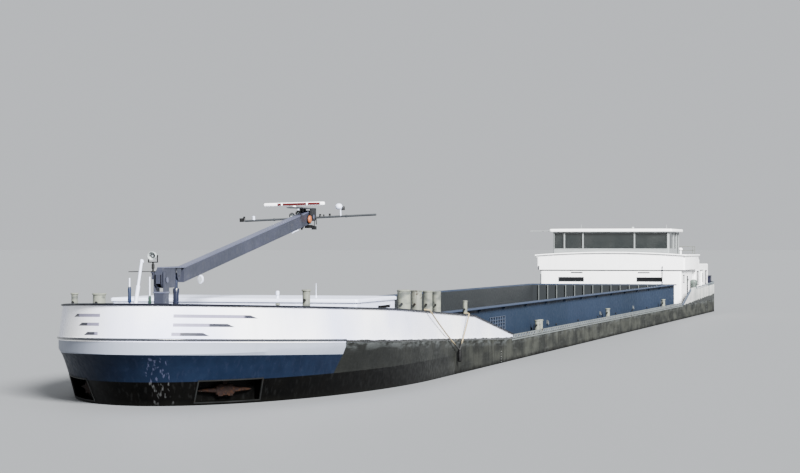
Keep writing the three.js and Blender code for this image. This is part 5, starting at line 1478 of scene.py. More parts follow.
for y in (-0.0245, 0.0245):
    tube(bm, [(HEAD.x - 0.022, y, HEAD.z - 0.012), (HEAD.x - 0.022, y * 0.9, HEAD.z - 0.037)], 0.0018, 1, 8)
rod(bm, "y", 0.0018, -0.024, 0.024, HEAD + Vector((-0.022, 0, -0.035)), 1, 8)
tube(bm, [(HEAD.x - 0.02, 0.025, HEAD.z), (HEAD.x - 0.02, 0.031, HEAD.z - 0.004),
          (HEAD.x - 0.02, 0.032, HEAD.z - 0.03)], 0.0022, 1, 8)
piece("mast_head_horns", bm, [signal_orange, signal_black, lens_paint, lamp_grey], "mast_top",
      smooth=40, bevel=0.0005)
bm = bmesh.new()
for y, size in ((-0.036, 1.0), (-0.022, 0.8)):
    hood = [HEAD + Vector((-0.02, y + 0.0115 * size * math.cos(a), 0.016 + 0.019 * size * math.sin(a)))
            for a in [math.radians(-10 + 150 * i / 8) for i in range(9)]]
    tube(bm, hood, 0.0026 * size, 0, 8)
rod(bm, "y", 0.0016, -0.03, -0.0245, HEAD + Vector((-0.02, 0, 0.014)), 0, 8)
piece("mast_head_whistle", bm, white_paint, "mast_top", smooth=50)
bm = bmesh.new()
under_end = boom_top(1.507) - BOOM["depth"]
turned(bm, [(0, -0.001), (0.0035, -0.001), (0.0035, 0.004), (0.0075, 0.006), (0.0085, 0.012),
            (0.006, 0.0135), (0, 0.0135)], (PIVOT.x - 1.507, 0, PIVOT.z + under_end - 0.0125), "z", 0, 20)
tube(bm, [PIVOT + Vector((-a, 0.0085, boom_top(a) - BOOM["depth"] - 0.003)) for a in (1.43, 1.4, 1.36)],
     0.0032, 1)
piece("mast_girder_lamps", bm, [signal_black, white_paint], "mast", smooth=50)

SCANNER = HEAD + Vector((0.164, 0, 0.0373))


def scanner_bands(tree, coords):
    """White moulding with two red stripes along its faces."""
    x, y, z = node(tree, "SeparateXYZ", {0: coords}).outputs
    level = maths(tree, "SUBTRACT", z, maths(tree, "MULTIPLY", y, math.sin(LIST)))
    gaps = maths(tree, "MAXIMUM", within(tree, y, -0.049, 0.003), within(tree, y, 0.053, 0.003))
    stripe = both(tree, within(tree, y, 0.019, 0.087), maths(tree, "SUBTRACT", 1.0, gaps))
    red = both(tree, stripe, within(tree, level, SCANNER.z + 0.0098, 0.0048))
    return mixed(tree, red, rgb(244, 244, 246), rgb(150, 46, 50))


scanner_white = finish("scanner_white", (240, 241, 244), 0.3, mottle=0.03, grime=0.08, streaks=0.03,
                       bands=scanner_bands)
bm = bmesh.new()
rings = []
for y, size in ((-0.123, 0.55), (-0.1215, 0.85), (-0.118, 1), (-0.03, 1), (0.03, 1), (0.118, 1),
                (0.1215, 0.85), (0.123, 0.55)):
    ring = []
    for i in range(20):
        angle = 2 * math.pi * i / 20
        x = math.copysign(abs(math.cos(angle)) ** 0.6, math.cos(angle)) * 0.009 * size
        z = math.copysign(abs(math.sin(angle)) ** 0.6, math.sin(angle)) * 0.007 * size
        ring.append((SCANNER.x + x, y, SCANNER.z + 0.0098 + z))
    rings.append(ring)
loft(bm, rings)
listed(bm, LIST)
turned(bm, [(0, 0.0002), (0.008, 0.0002), (0.008, 0.002), (0.0065, 0.0038), (0, 0.0038)], SCANNER)
piece("radar_scanner_moulding", bm, scanner_white, "radar", ["radar_scanner"], smooth=50)


# Searchlight: a steel drum with a glass face in a forked yoke, on the starboard cheek. Beside it stand the
# jackstaff, a white tapered pole, and two thin poles with coloured sleeves.
LIGHT = Vector((PIVOT.x + 0.018, -0.022, PIVOT.z + 0.0263))
DRUM = LIGHT + Vector((0, 0, 0.052))
bm = bmesh.new()
turned(bm, [(0, -0.0095), (0.0065, -0.0095), (0.0108, -0.0075), (0.0132, -0.002), (0.014, 0.004),
            (0.014, 0.0135), (0.013, 0.0138), (0.0122, 0.012), (0.0118, 0.002), (0.006, -0.004),
            (0, -0.005)], DRUM, "x", 0, 36)
turned(bm, [(0, -0.0045), (0.0035, -0.004), (0.0035, 0.004), (0, 0.0065)], DRUM, "x", 2, 20)
for y in (-0.0162, 0.0142):
    block(bm, (LIGHT.x - 0.003, LIGHT.x + 0.003), (LIGHT.y + y, LIGHT.y + y + 0.002),
          (LIGHT.z + 0.0325, LIGHT.z + 0.055), 1)
block(bm, (LIGHT.x - 0.0035, LIGHT.x + 0.0035), (LIGHT.y - 0.0162, LIGHT.y + 0.0162),
      (LIGHT.z + 0.03, LIGHT.z + 0.0335), 1)
rod(bm, "y", 0.0024, -0.0172, 0.0172, DRUM, 1, 12)
turned(bm, [(0, 0.0), (0.0065, 0.0), (0.0065, 0.002), (0.0032, 0.004), (0.0032, 0.01), (0.005, 0.011),
            (0.005, 0.025), (0.0032, 0.026), (0.0032, 0.03), (0, 0.03)], LIGHT, "z", 1, 20)
piece("searchlight_drum", bm, [lamp_grey, signal_black, lens_paint], "hull",
      ["searchlight"], smooth=40)
bm = bmesh.new()
staff_foot = Vector((station(0.165), -0.049, deck_at(station(0.165))))
staff_top = Vector((5.275, -0.032, 0.781))
for share0, share1, radius in ((0.0, 0.36, 0.0082), (0.35, 0.68, 0.0064), (0.67, 1.0, 0.0044)):
    tube(bm, [staff_foot.lerp(staff_top, share0), staff_foot.lerp(staff_top, share1)], radius, 0, 16)
turned(bm, [(0, -0.004), (0.0058, -0.002), (0.0066, 0.002), (0.0045, 0.0065), (0, 0.008)],
       staff_top - Vector((0, 0, 0.008)), "z", 0, 20)
turned(bm, [(0, 0.0008), (0.014, 0.0008), (0.014, 0.008), (0.009, 0.0105), (0, 0.0105)],
       staff_foot, "z", 0, 28)
piece("jackstaff_pole", bm, white_paint, "hull", ["jackstaff"], smooth=50)
sleeve_blue = finish("sleeve_blue", (52, 84, 140), mottle=0.06, grime=0.1)
sleeve_green = finish("sleeve_green", (58, 112, 92), mottle=0.06, grime=0.1)
for name, y, sleeve, top, wrap in (("starboard", -0.064, sleeve_blue, 0.722, (0.642, 0.694)),
                                   ("middle", 0.005, sleeve_green, 0.726, (0.636, 0.666))):
    bm = bmesh.new()
    foot = deck_at(5.3)
    turned(bm, [(0, foot), (0.006, foot), (0.006, foot + 0.005), (0.0022, foot + 0.007), (0.0022, top),
                (0, top)], (5.3, y, 0), "z", 0, 14)
    low, high = wrap
    turned(bm, [(0, low), (0.0046, low), (0.0062, low + 0.008), (0.005, (low + high) / 2),
                (0.0056, high - 0.008), (0.0034, high), (0, high)], (5.3, y, 0), "z", 1, 14)
    piece(f"sounding_pole_{name}", bm, [white_paint, sleeve], "hull", smooth=50)
bm = bmesh.new()
tube(bm, [(5.1875, -0.0155, 0.7416), (5.245, -0.09, 0.7416)], 0.0016, 0, 8)
piece("stowed_rod", bm, signal_black, "hull", smooth=50)


# Deckhouse: steel plate, welded and painted white. The lower walls stand in from a wider band, with a dark
# bar under its edge that is a painted shadow line. Small windows with clamped frames are let into the walls,
# and a door into each side; the panes are dark, painted shade for the rooms behind.
house_white = finish("house_white", (249, 249, 250), 0.3, mottle=0.03, grime=0.05, streaks=0.06,
                     coat=0.2, grain=0.06)
# Grey for the window frames, the door leaves and the pipes. On the bar under the band it is a painted shadow
# line.
trim_and_shadow_grey = finish("trim_and_shadow_grey", (92, 98, 108), mottle=0.1, grime=0.2)
# Opaque dark panes: painted shade for the rooms behind the glass, with a clear coat for its gloss.
window_shade_dark = finish("window_shade_dark", (38, 42, 46), 0.12, mottle=0.05, grime=0.08, streaks=0.04, coat=0.3)
HOUSE = {"x": (-4.325, -3.707), "half": 0.515, "foot": 0.4173, "top": 0.66, "wall": 0.01}
BAND = {"x": (-4.505, -3.705), "half": 0.542, "foot": 0.6603, "top": 0.77, "soffit": 0.008}


def facing(bm, side, face, centre, wide, tall, out, deep, paint=0):
    """A flat block on a wall, whose side is "front", "port" or "starboard" and whose plane is the face."""
    low, high = sorted((face + deep, face + out))
    across = (centre[0] - wide / 2, centre[0] + wide / 2)
    up = (centre[1] - tall / 2, centre[1] + tall / 2)
    if side == "front":
        block(bm, (low, high), across, up, paint)
    else:
        block(bm, across, (low, high) if side == "port" else (-high, -low), up, paint)


def framed_pane(bm, side, face, centre, wide, tall, edge, bar, proud, sunk):
    """A sunk pane in a raised frame of four bars, whose middles lie a little outside the opening."""
    facing(bm, side, face, centre, wide - 0.001, tall - 0.001, -sunk, -0.0048, 1)
    for shift in (-1, 1):
        upright = (centre[0] + shift * (wide / 2 + edge), centre[1])
        facing(bm, side, face, upright, bar, tall + bar + 2 * edge, proud, -0.0003)
        level = (centre[0], centre[1] + shift * (tall / 2 + edge))
        facing(bm, side, face, level, wide + 2 * edge, bar, proud, -0.0003)


HOUSE_WINDOWS = [
    # side, where its middle is along the wall and up, how wide and how tall it is
    ("front", (0.2865, 0.591), 0.181, 0.026), ("front", (-0.2865, 0.591), 0.181, 0.026),
    ("port", (-3.84, 0.595), 0.07, 0.05), ("starboard", (-3.84, 0.595), 0.07, 0.05),
    ("starboard", (-4.06, 0.595), 0.07, 0.05),
]
HOUSE_DOORS = [("port", (-4.06, 0.526), 0.1, 0.176), ("starboard", (-4.22, 0.526), 0.1, 0.176)]
bm = bmesh.new()
shell(bm, *HOUSE["x"], HOUSE["half"], lambda x: HOUSE["foot"], HOUSE["top"], HOUSE["wall"], 0.014)
house_walls = piece("deckhouse_plating", bm, house_white, "hull", ["deckhouse_walls"])
bm = bmesh.new()
for side, centre, wide, tall in HOUSE_WINDOWS + HOUSE_DOORS:
    face = HOUSE["x"][1] if side == "front" else HOUSE["half"]
    facing(bm, side, face, centre, wide, tall, 0.004, -0.005)
cut_away(house_walls, bm)
bm = bmesh.new()
for side, centre, wide, tall in HOUSE_WINDOWS:
    face = HOUSE["x"][1] if side == "front" else HOUSE["half"]
    framed_pane(bm, side, face, centre, wide, tall, 0.0015, 0.0045, 0.002, 0.0032)
piece("deckhouse_windows", bm, [trim_and_shadow_grey, window_shade_dark], "hull", bevel=0.0005)
bm = bmesh.new()
for side, centre, wide, tall in HOUSE_DOORS:
    face = HOUSE["half"]
    facing(bm, side, face, centre, wide - 0.003, tall - 0.003, -0.0025, -0.0048)
    facing(bm, side, face, (centre[0], centre[1] + 0.045), 0.05, 0.05, -0.0018, -0.003, 1)
    facing(bm, side, face, (centre[0] + 0.038, centre[1]), 0.003, 0.02, 0.0028, -0.003, 2)
    for height in (-0.06, 0.06):
        facing(bm, side, face, (centre[0] - 0.0465, centre[1] + height), 0.005, 0.014, 0.0012, -0.003, 2)
piece("deckhouse_doors", bm, [trim_and_shadow_grey, window_shade_dark, worn_steel], "hull", bevel=0.0006)
bm = bmesh.new()
outer_low, outer_high = (rounded(*BAND["x"], BAND["half"], z, 0.016) for z in (BAND["foot"], BAND["top"]))
inner_x = (BAND["x"][0] + 0.01, BAND["x"][1] - 0.01)
inner_high, inner_low = (rounded(*inner_x, BAND["half"] - 0.01, z, 0.006)
                         for z in (BAND["top"], BAND["foot"] + BAND["soffit"]))
mouth_high, mouth_low = (rounded(-4.313, -3.719, 0.503, z, 0.002)
                         for z in (BAND["foot"] + BAND["soffit"], BAND["foot"]))
loft(bm, [outer_low, outer_high, inner_high, inner_low, mouth_high, mouth_low, outer_low], ends=False)
bmesh.ops.remove_doubles(bm, verts=bm.verts, dist=1e-6)
piece("deckhouse_band_plating", bm, house_white, "hull", ["deckhouse_band"])


# Visor and trim: a cambered plate over the front windows, which runs back along the sides as a narrow eave.
# Under it a dark bar goes round the walls as a painted shadow line, and a pole and two pipes are clamped to
# the front. All of it is steel.
VISOR = {"camber": 0.02, "out": 0.012, "back": 0.018, "thick": 0.008}
bm = bmesh.new()
rings = []
for i in range(33):
    y = BAND["half"] * (i / 16 - 1)
    top = BAND["top"] + VISOR["camber"] * (1 - (y / BAND["half"]) ** 2)
    front, under = BAND["x"][1] + VISOR["out"], top - VISOR["thick"]
    back = BAND["x"][1] - VISOR["back"]
    inner, outer, foot = BAND["x"][1] - 0.0098, BAND["x"][1] - 0.0002, BAND["top"] - 0.02
    section = [(front - 0.002, under), (front, under + 0.002), (front, top - 0.002), (front - 0.002, top),
               (back, top), (back, under), (inner, under), (inner, foot), (outer, foot), (outer, under)]
    rings.append([(x, y, z) for x, z in section])
loft(bm, rings)
for side in (1, -1):
    block(bm, (BAND["x"][0] + 0.01, BAND["x"][1] + 0.012), sorted((side * 0.5415, side * 0.552)),
          (0.7615, 0.7695))
piece("deckhouse_visor", bm, house_white, "hull", smooth=30, bevel=0.0008)
bm = bmesh.new()
# A dark bar round the top of the walls: a painted shadow line under the band's edge.
shadow_bar_edge = [(-0.001, 0.6535), (0.0035, 0.6535), (0.0045, 0.655), (0.0045, 0.658), (0.0035, 0.6598),
            (-0.001, 0.6598)]
shadow_bar_ring = [rounded(HOUSE["x"][0] - out, HOUSE["x"][1] + out, HOUSE["half"] + out, z, 0.014)
            for out, z in shadow_bar_edge]
loft(bm, shadow_bar_ring + [shadow_bar_ring[0]], ends=False)
for y in (0.245, -0.245):
    facing(bm, "front", HOUSE["x"][1], (y, 0.6405), 0.085, 0.0075, 0.0022, -0.0004)
bmesh.ops.remove_doubles(bm, verts=bm.verts, dist=1e-6)
piece("deckhouse_trim_and_shadow_bar", bm, trim_and_shadow_grey, "hull", smooth=50)
bm = bmesh.new()
rod(bm, "z", 0.0018, 0.555, 0.688, (-3.7, 0.38, 0), 0, 12)
for z in (0.57, 0.64, 0.68):
    block(bm, (-3.7072, -3.699), (0.377, 0.383), (z - 0.002, z + 0.002))
rod(bm, "z", 0.0032, 0.4175, 0.63, (-3.695, -0.508, 0), 0, 14)
rod(bm, "z", 0.0042, 0.66, 0.688, (-3.7, -0.525, 0), 0, 14)
piece("deckhouse_pipes", bm, trim_and_shadow_grey, "hull", smooth=50)


# Deckhouse roof: steel plate, painted like the decks, with a low coaming round the well of the wheelhouse.
# Two covers and a vent stand on it, and a pipe railing runs round its after end.
WELL = (-4.288, -3.722, 0.433)


def round_the_well(bm, outside, low, high):
    """A flat ring between an outline and the well."""
    outer, inner = ([rounded(*plan, z, radius) for z in (low, high)]
                    for plan, radius in ((outside, 0.006), (WELL, 0.004)))
    loft(bm, [outer[0], outer[1], inner[1], inner[0], outer[0]], ends=False)
    bmesh.ops.remove_doubles(bm, verts=bm.verts, dist=1e-6)


bm = bmesh.new()
round_the_well(bm, (-4.4947, -3.7153, 0.5317), 0.752, 0.761)
piece("deckhouse_roof_plate", bm, deck_paint, "hull", ["deckhouse_roof"])
bm = bmesh.new()
ROOF_Z = 0.7612
round_the_well(bm, (-4.291, -3.7195, 0.436), ROOF_Z, 0.7672)
for x, y in ((-4.4, -0.2), (-4.4, 0.22)):
    turned(bm, [(0, ROOF_Z), (0.026, ROOF_Z), (0.026, 0.768), (0.022, 0.7715), (0, 0.773)],
           (x, y, 0), "z", 0, 36)
turned(bm, [(0, ROOF_Z), (0.009, ROOF_Z), (0.009, 0.80), (0.016, 0.803), (0.016, 0.812), (0.01, 0.819),
            (0, 0.82)], (-4.38, 0.42, 0), "z", 0, 28)
piece("deckhouse_roof_fittings", bm, house_white, "hull", smooth=40)
bm = bmesh.new()
RAIL_X, RAIL_LOW, RAIL_TOP = (-4.48, -4.35), 0.80, 0.829
for y in (0.515, -0.515):
    for x in RAIL_X:
        rod(bm, "z", 0.0022, ROOF_Z, 0.83, (x, y, 0), 0, 10)
    rod(bm, "x", 0.0018, *RAIL_X, (0, y, RAIL_LOW), 0, 10)
    rod(bm, "x", 0.0022, *RAIL_X, (0, y, RAIL_TOP), 0, 10)
for z in (RAIL_LOW, RAIL_TOP):
    rod(bm, "y", 0.0018, -0.515, 0.515, (RAIL_X[0], 0, z), 0, 10)
for y in (-0.26, 0.0, 0.26):
    rod(bm, "z", 0.0022, ROOF_Z, 0.83, (RAIL_X[0], y, 0), 0, 10)
piece("deckhouse_roof_rail", bm, post_paint, "hull", smooth=60)


# Wheelhouse: a light steel box with large windows, which rises and sinks on its column. Its roof is a
# moulded slab. The panes are tinted, darker still as painted shade of the room behind them, and the door
# slides on a rail inside the port wall.
frame_white = finish("frame_white", (214, 216, 216), 0.34, mottle=0.05, grime=0.1, streaks=0.08, coat=0.1)
WHEELHOUSE = {"x": (-4.28, -3.73), "half": 0.425, "foot": 0.722, "sill": 0.814, "head": 0.926, "top": 0.936,
              "wall": 0.008}
FRONT_PANES = [(-0.4155, -0.3435), (-0.3365, -0.2065), (-0.1995, 0.1705), (0.1775, 0.4115)]
SIDE_PANES = [(-3.98, -3.75), (-4.14, -3.992)]
DOORWAY = (-4.26, -4.17)
bm = bmesh.new()
shell(bm, *WHEELHOUSE["x"], WHEELHOUSE["half"], lambda x: WHEELHOUSE["foot"], WHEELHOUSE["top"],
      WHEELHOUSE["wall"], 0.01)
wheelhouse_box = piece("wheelhouse_frame", bm, frame_white, "wheelhouse",
                       ["wheelhouse_walls"])
bm = bmesh.new()
sill, head, half = WHEELHOUSE["sill"], WHEELHOUSE["head"], WHEELHOUSE["half"]
for y0, y1 in FRONT_PANES:
    for x in WHEELHOUSE["x"]:
        block(bm, (x - 0.012, x + 0.012), (y0, y1), (sill, head))
for side in (1, -1):
    openings = [(x0, x1, sill) for x0, x1 in SIDE_PANES] + ([(*DOORWAY, 0.738)] if side > 0 else [])
    for x0, x1, foot in openings:
        block(bm, (x0, x1), sorted((side * (half - 0.012), side * (half + 0.004))), (foot, head))
cut_away(wheelhouse_box, bm)
bm = bmesh.new()
block(bm, (-4.2718, -3.7382), (-0.4168, 0.4168), (0.7222, 0.732))
block(bm, (-4.266, -4.07), (0.398, 0.4172), (0.9303, 0.9358), 1)
for y0, y1 in FRONT_PANES:
    block(bm, (-3.7312, -3.7285), (y0 - 0.0015, y1 + 0.0015), (sill - 0.003, sill), 1)
for y0, y1 in FRONT_PANES:
    for y in (y0, y1):
        block(bm, (-3.731, -3.7288), (y - 0.0012, y + 0.0012), (sill - 0.0005, head + 0.001), 1)
piece("wheelhouse_sills", bm, [deck_paint, frame_white], "wheelhouse")
bm = bmesh.new()
wh_aft, wh_fore = WHEELHOUSE["x"]
roof_rings = [rounded(wh_aft - 0.026, wh_fore + 0.018, half + 0.02, 0.9363, 0.014)]
for cut, z in ((0.0005, 0.9372), (0.0, 0.9385), (0.0, 0.9525), (0.0015, 0.9548), (0.005, 0.9562),
               (0.08, 0.9583), (0.2, 0.96)):
    roof_rings.append(rounded(wh_aft - 0.03 + cut, wh_fore + 0.022 - cut, half + 0.024 - cut, z, 0.016))
loft(bm, roof_rings)
piece("wheelhouse_roof_slab", bm, house_white, "wheelhouse", ["wheelhouse_roof"], smooth=50)
bm = bmesh.new()
block(bm, (-3.762, -3.708), (-0.589, -0.4425), (0.9402, 0.9445))
for y in (-0.46, -0.5):
    block(bm, (-3.758, -3.712), (y - 0.001, y + 0.001), (0.9378, 0.9405))
for y in (-0.3, 0.34):
    rod(bm, "z", 0.0014, 0.958, 0.992, (-4.2, y, 0), 0, 10)
turned(bm, [(0, 0.9585), (0.012, 0.9585), (0.012, 0.968), (0.009, 0.974), (0, 0.9765)],
       (-4.12, 0.1, 0), "z", 0, 28)
piece("wheelhouse_roof_fittings", bm, frame_white, "wheelhouse", smooth=40)


def glazing(name, tint, roughness):
    """Tinted glass, darkened as painted shade of the room behind it, with paler patches of dust and painted
    reflection.
    """
    material, tree, shader, coords = new_material(name)
    dust_and_reflection = span(tree, noise(tree, coords, 8, 4.0), 0.4, 0.75, 0.0, 0.12)
    tree.links.new(mixed(tree, dust_and_reflection, tint, (0.3, 0.3, 0.28, 1)), shader.inputs["Base Color"])
    tree.links.new(span(tree, noise(tree, coords, 25), 0.3, 0.7, roughness, roughness + 0.05),
                   shader.inputs["Roughness"])
    shader.inputs["Transmission Weight"].default_value = 0.75
    shader.inputs["IOR"].default_value = 1.45
    return material


# The dark tint is partly painted shade for the room behind the panes.
tinted_and_shaded_glass = glazing("tinted_and_shaded_glass", (0.03, 0.038, 0.038, 1), 0.02)
bm = bmesh.new()
glass_aft, glass_fore, glass_z = wh_aft + 0.0083, wh_fore - 0.0083, (0.808, 0.93)
for x in ((glass_aft, glass_aft + 0.004), (glass_fore - 0.004, glass_fore)):
    block(bm, x, (-0.4163, 0.4163), glass_z)
for start, y in ((-4.164, (0.4127, 0.4166)), (glass_aft + 0.0042, (-0.4166, -0.4127))):
    block(bm, (start, glass_fore - 0.0042), y, glass_z)
piece("wheelhouse_panes", bm, tinted_and_shaded_glass, "wheelhouse", ["wheelhouse_glass"])
bm = bmesh.new()
block(bm, (-4.264, -4.166), (0.4, 0.406), (0.737, 0.93))
wheelhouse_leaf = piece("wheelhouse_door_leaf", bm, frame_white, "wheelhouse_side_door",
                        ["wheelhouse_door"])
bm = bmesh.new()
block(bm, (-4.25, -4.18), (0.39, 0.41), (0.82, 0.918))
cut_away(wheelhouse_leaf, bm)
bm = bmesh.new()
block(bm, (-4.2515, -4.1785), (0.4018, 0.4042), (0.8185, 0.9195))
for y in ((0.3983, 0.3995), (0.4064, 0.4076)):
    block(bm, (-4.176, -4.172), y, (0.77, 0.79), 1)
piece("wheelhouse_door_pane", bm, [tinted_and_shaded_glass, worn_steel], "wheelhouse_side_door")


# Inside the wheelhouse: a steel console with a sloped desk, screens and levers, and a padded helm chair on a
# stalk. The lift's column and guide and the engine in its well keep their solids' shapes and are only
# painted.
console_black = finish("console_black", (40, 42, 46), 0.5, mottle=0.08, grime=0.15)
screen_glass = finish("screen_glass", (22, 30, 38), 0.08, mottle=0.03, grime=0.03, coat=0.4)
CONSOLE_X, CABIN_FLOOR = -3.84, 0.732
bm = bmesh.new()
desk = [(-0.03, 0.0008), (0.028, 0.0008), (0.03, 0.004), (0.03, 0.09), (0.028, 0.092), (0.0, 0.092),
        (-0.003, 0.09), (-0.012, 0.076), (-0.028, 0.0695), (-0.03, 0.067)]
loft(bm, [[(CONSOLE_X + x, y, CABIN_FLOOR + z) for x, z in desk] for y in (-0.14, -0.06, 0.06, 0.14)])
for y in (-0.095, 0.0, 0.095):
    screen = ((-0.0125, 0.0772), (-0.0045, 0.0895), (-0.006, 0.0905), (-0.014, 0.0782))
    loft(bm, [[(CONSOLE_X + x, y + wide, CABIN_FLOOR + z) for x, z in screen] for wide in (-0.036, 0.036)],
         1)
for y in (-0.03, 0.03):
    rod(bm, "z", 0.0016, CABIN_FLOOR + 0.072, CABIN_FLOOR + 0.086, (CONSOLE_X - 0.02, y, 0), 2, 10)
    turned(bm, [(0, 0.085), (0.003, 0.086), (0.0034, 0.088), (0.002, 0.0905), (0, 0.091)],
           (CONSOLE_X - 0.02, y, CABIN_FLOOR), "z", 2, 12)
piece("steering_desk", bm, [console_black, screen_glass, worn_steel], "wheelhouse",
      ["steering_console"], bevel=0.0006)
leather = finish("leather", (58, 50, 46), 0.55, mottle=0.15, grime=0.2, grain=0.5, scale=3)
CHAIR_X = -3.95
bm = bmesh.new()
turned(bm, [(0, 0.0008), (0.022, 0.0008), (0.022, 0.003), (0.01, 0.0065), (0.009, 0.012), (0.009, 0.036),
            (0, 0.036)], (CHAIR_X, 0, CABIN_FLOOR))
for y in (-0.0245, 0.0245):
    tube(bm, [(CHAIR_X - 0.02, y, CABIN_FLOOR + 0.056), (CHAIR_X - 0.02, y, CABIN_FLOOR + 0.072),
              (CHAIR_X + 0.014, y, CABIN_FLOOR + 0.072)], 0.0024)
piece("helm_chair_stalk", bm, worn_steel, "wheelhouse", smooth=50)


def cushion(name, x, y, z, crown, nodes=()):
    """A crowned pad whose sides pull in between its corners, with a piped edge."""
    pad = bmesh.new()
    bmesh.ops.create_cube(pad, size=1.0)
    bmesh.ops.subdivide_edges(pad, edges=pad.edges, cuts=5, use_grid_fill=True)
    mid = [sum(pair) / 2 for pair in (x, y, z)]
    size = [pair[1] - pair[0] for pair in (x, y, z)]
    thin = size.index(min(size))
    for vert in pad.verts:
        u = [2 * vert.co[i] for i in range(3)]
        others = [i for i in range(3) if i != thin]
        edge = max(abs(u[i]) for i in others)
        u[thin] *= 1 - 0.45 * edge ** 6 + crown * (1 - edge ** 2)
        for i in others:
            j = others[1 - others.index(i)]
            u[i] *= 1 - 0.05 * (1 - u[j] ** 2)
        vert.co = Vector([mid[i] + size[i] / 2 * u[i] / (1 + crown if i == thin else 1) for i in range(3)])
    made = piece(name, pad, leather, "wheelhouse", nodes, smooth=60)
    surface = made.modifiers.new("round", "SUBSURF")
    surface.levels = surface.render_levels = 1


cushion("helm_chair_seat", (CHAIR_X - 0.026, CHAIR_X + 0.026), (-0.024, 0.024),
        (CABIN_FLOOR + 0.037, CABIN_FLOOR + 0.052), 0.25, ["helm_chair"])
cushion("helm_chair_back", (CHAIR_X - 0.026, CHAIR_X - 0.015), (-0.024, 0.024),
        (CABIN_FLOOR + 0.055, CABIN_FLOOR + 0.118), 0.25)
bare_steel = finish("bare_steel", (150, 152, 156), 0.35, metallic=0.8, mottle=0.1, grime=0.2, rust=0.1)
engine_green = finish("engine_green", (70, 96, 88), mottle=0.15, grime=0.35, rust=0.2)
for name, material in (("lift_column", bare_steel), ("lift_guide", hold_paint),
                       ("main_engine", engine_green)):
    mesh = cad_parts[name].data
    mesh.materials.clear()
    mesh.materials.append(material)


# Aft cabin: lower than the deckhouse and stepped down aft, with rounded corners. Each side has two tall
# windows in raised frames and a sliding door, hung from a rail.
CABIN = {"fore": 10.01, "step": 10.25, "aft": 10.8, "half": 0.515, "top": 0.735, "low": 0.695, "wall": 0.01}
CABIN_DOOR = {"aft": (10.37, 10.45), "z": (0.431, 0.64)}


def stepped(inset, foot):
    """The cabin's outline from the side, with its step and its rounded after edges."""
    fore, step, aft = (station(CABIN[key]) for key in ("fore", "step", "aft"))
    corner = 0.012 - min(inset, 0.01)
    high, low = ([(x + inset + corner * (1 - math.sin(a)), z - inset - corner * (1 - math.cos(a)))
                  for a in [math.pi / 8 * i for i in range(5)]]
                 for x, z in ((step, CABIN["top"]), (aft, CABIN["low"])))
    return [(fore - inset, foot), (fore - inset, CABIN["top"] - inset), *high,
            (step + inset, CABIN["low"] - inset), *low, (aft + inset, foot)]


bm = bmesh.new()
rings = []
for share in range(5):
    angle = math.pi / 2 * share / 4
    rings.append((-CABIN["half"] + 0.01 * (1 - math.sin(angle)), 0.01 * (1 - math.cos(angle))))
sections = rings[::-1] + [(-y, inset) for y, inset in rings]
loft(bm, [[(min(x, station(CABIN["fore"])), y, z) for x, z in stepped(inset * 0.9, AFT_DECK_Z + 0.0003)]
          for y, inset in sections])
cabin_shell = piece("aft_cabin_plating", bm, house_white, "hull", ["aft_cabin"])
bm = bmesh.new()
half = CABIN["half"]
loft(bm, [[(x, y, z) for x, z in stepped(0.01, AFT_DECK_Z - 0.01)] for y in (-half + 0.01, half - 0.01)])
cut_away(cabin_shell, bm)
CABIN_PANES = [(10.1, 10.19), (10.6, 10.7)]
PANE_Z, PANE_TALL = 0.59, 0.1
bm = bmesh.new()
for side in ("port", "starboard"):
    near, far = CABIN_DOOR["aft"]
    foot, head = CABIN_DOOR["z"]
    facing(bm, side, half, (station((near + far) / 2), (foot + head) / 2), far - near, head - foot,
           0.004, -0.014)
    for near, far in CABIN_PANES:
        facing(bm, side, half, (station((near + far) / 2), PANE_Z), far - near, PANE_TALL, 0.004, -0.005)
cut_away(cabin_shell, bm)
bm = bmesh.new()
for side in ("port", "starboard"):
    for near, far in CABIN_PANES:
        middle, wide, tall = station((near + far) / 2), far - near, PANE_TALL
        framed_pane(bm, side, half, (middle, PANE_Z), wide, tall, 0.002, 0.006, 0.0024, 0.0028)
    near, far = CABIN_DOOR["aft"]
    rail_x = (station(far) - 0.004, station(near) + 0.084)
    facing(bm, side, half, (sum(rail_x) / 2, 0.6472), rail_x[1] - rail_x[0], 0.0055, 0.0064, -0.0005)
piece("aft_cabin_windows", bm, [trim_and_shadow_grey, window_shade_dark], "hull", bevel=0.0006)
for side in ("port", "starboard"):
    near, far = CABIN_DOOR["aft"]
    bm = bmesh.new()
    middle, wide = station((near + far) / 2), far - near + 0.008
    facing(bm, side, half, (middle, 0.5355), wide, 0.217, 0.0064, 0.0006)
    facing(bm, side, half, (middle, PANE_Z), wide - 0.03, 0.07, 0.0069, 0.004, 1)
    facing(bm, side, half, (middle + wide / 2 - 0.008, 0.53), 0.0035, 0.024, 0.0088, 0.006, 2)
    for rise in (-0.1, -0.045):
        facing(bm, side, half, (middle, 0.5355 + rise), wide - 0.02, 0.003, 0.0072, 0.006)
    piece(f"cabin_door_leaf_{side}", bm, [house_white, window_shade_dark, worn_steel], f"cabin_door_{side[0]}",
          [f"cabin_door_{side}"], bevel=0.0006)


# Stern bulwark: white plate round the stern, rising aft, over weathered plating whose edge has worn in
# waves. Its front end is cut on a slant. An open rail of slanted stanchions and a pipe runs along its top.
WALL_FORE, WALL_FULL = station(8.87), station(9.31)
RAIL_FORE = station(9.62)
RAIL_DEEP = 0.02


def stern_top(x):
    """Height of the rail, which comes up on a slant at its front end and then rises aft."""
    rise = min(1.0, max(0.0, (WALL_FORE - x) / (WALL_FORE - WALL_FULL)))
    sheer = min(1.0, max(0.0, (WALL_FULL - x) / (WALL_FULL - STERN_X)))
    return AFT_DECK_Z + 0.01 + rise * 0.099 + sheer * 0.033


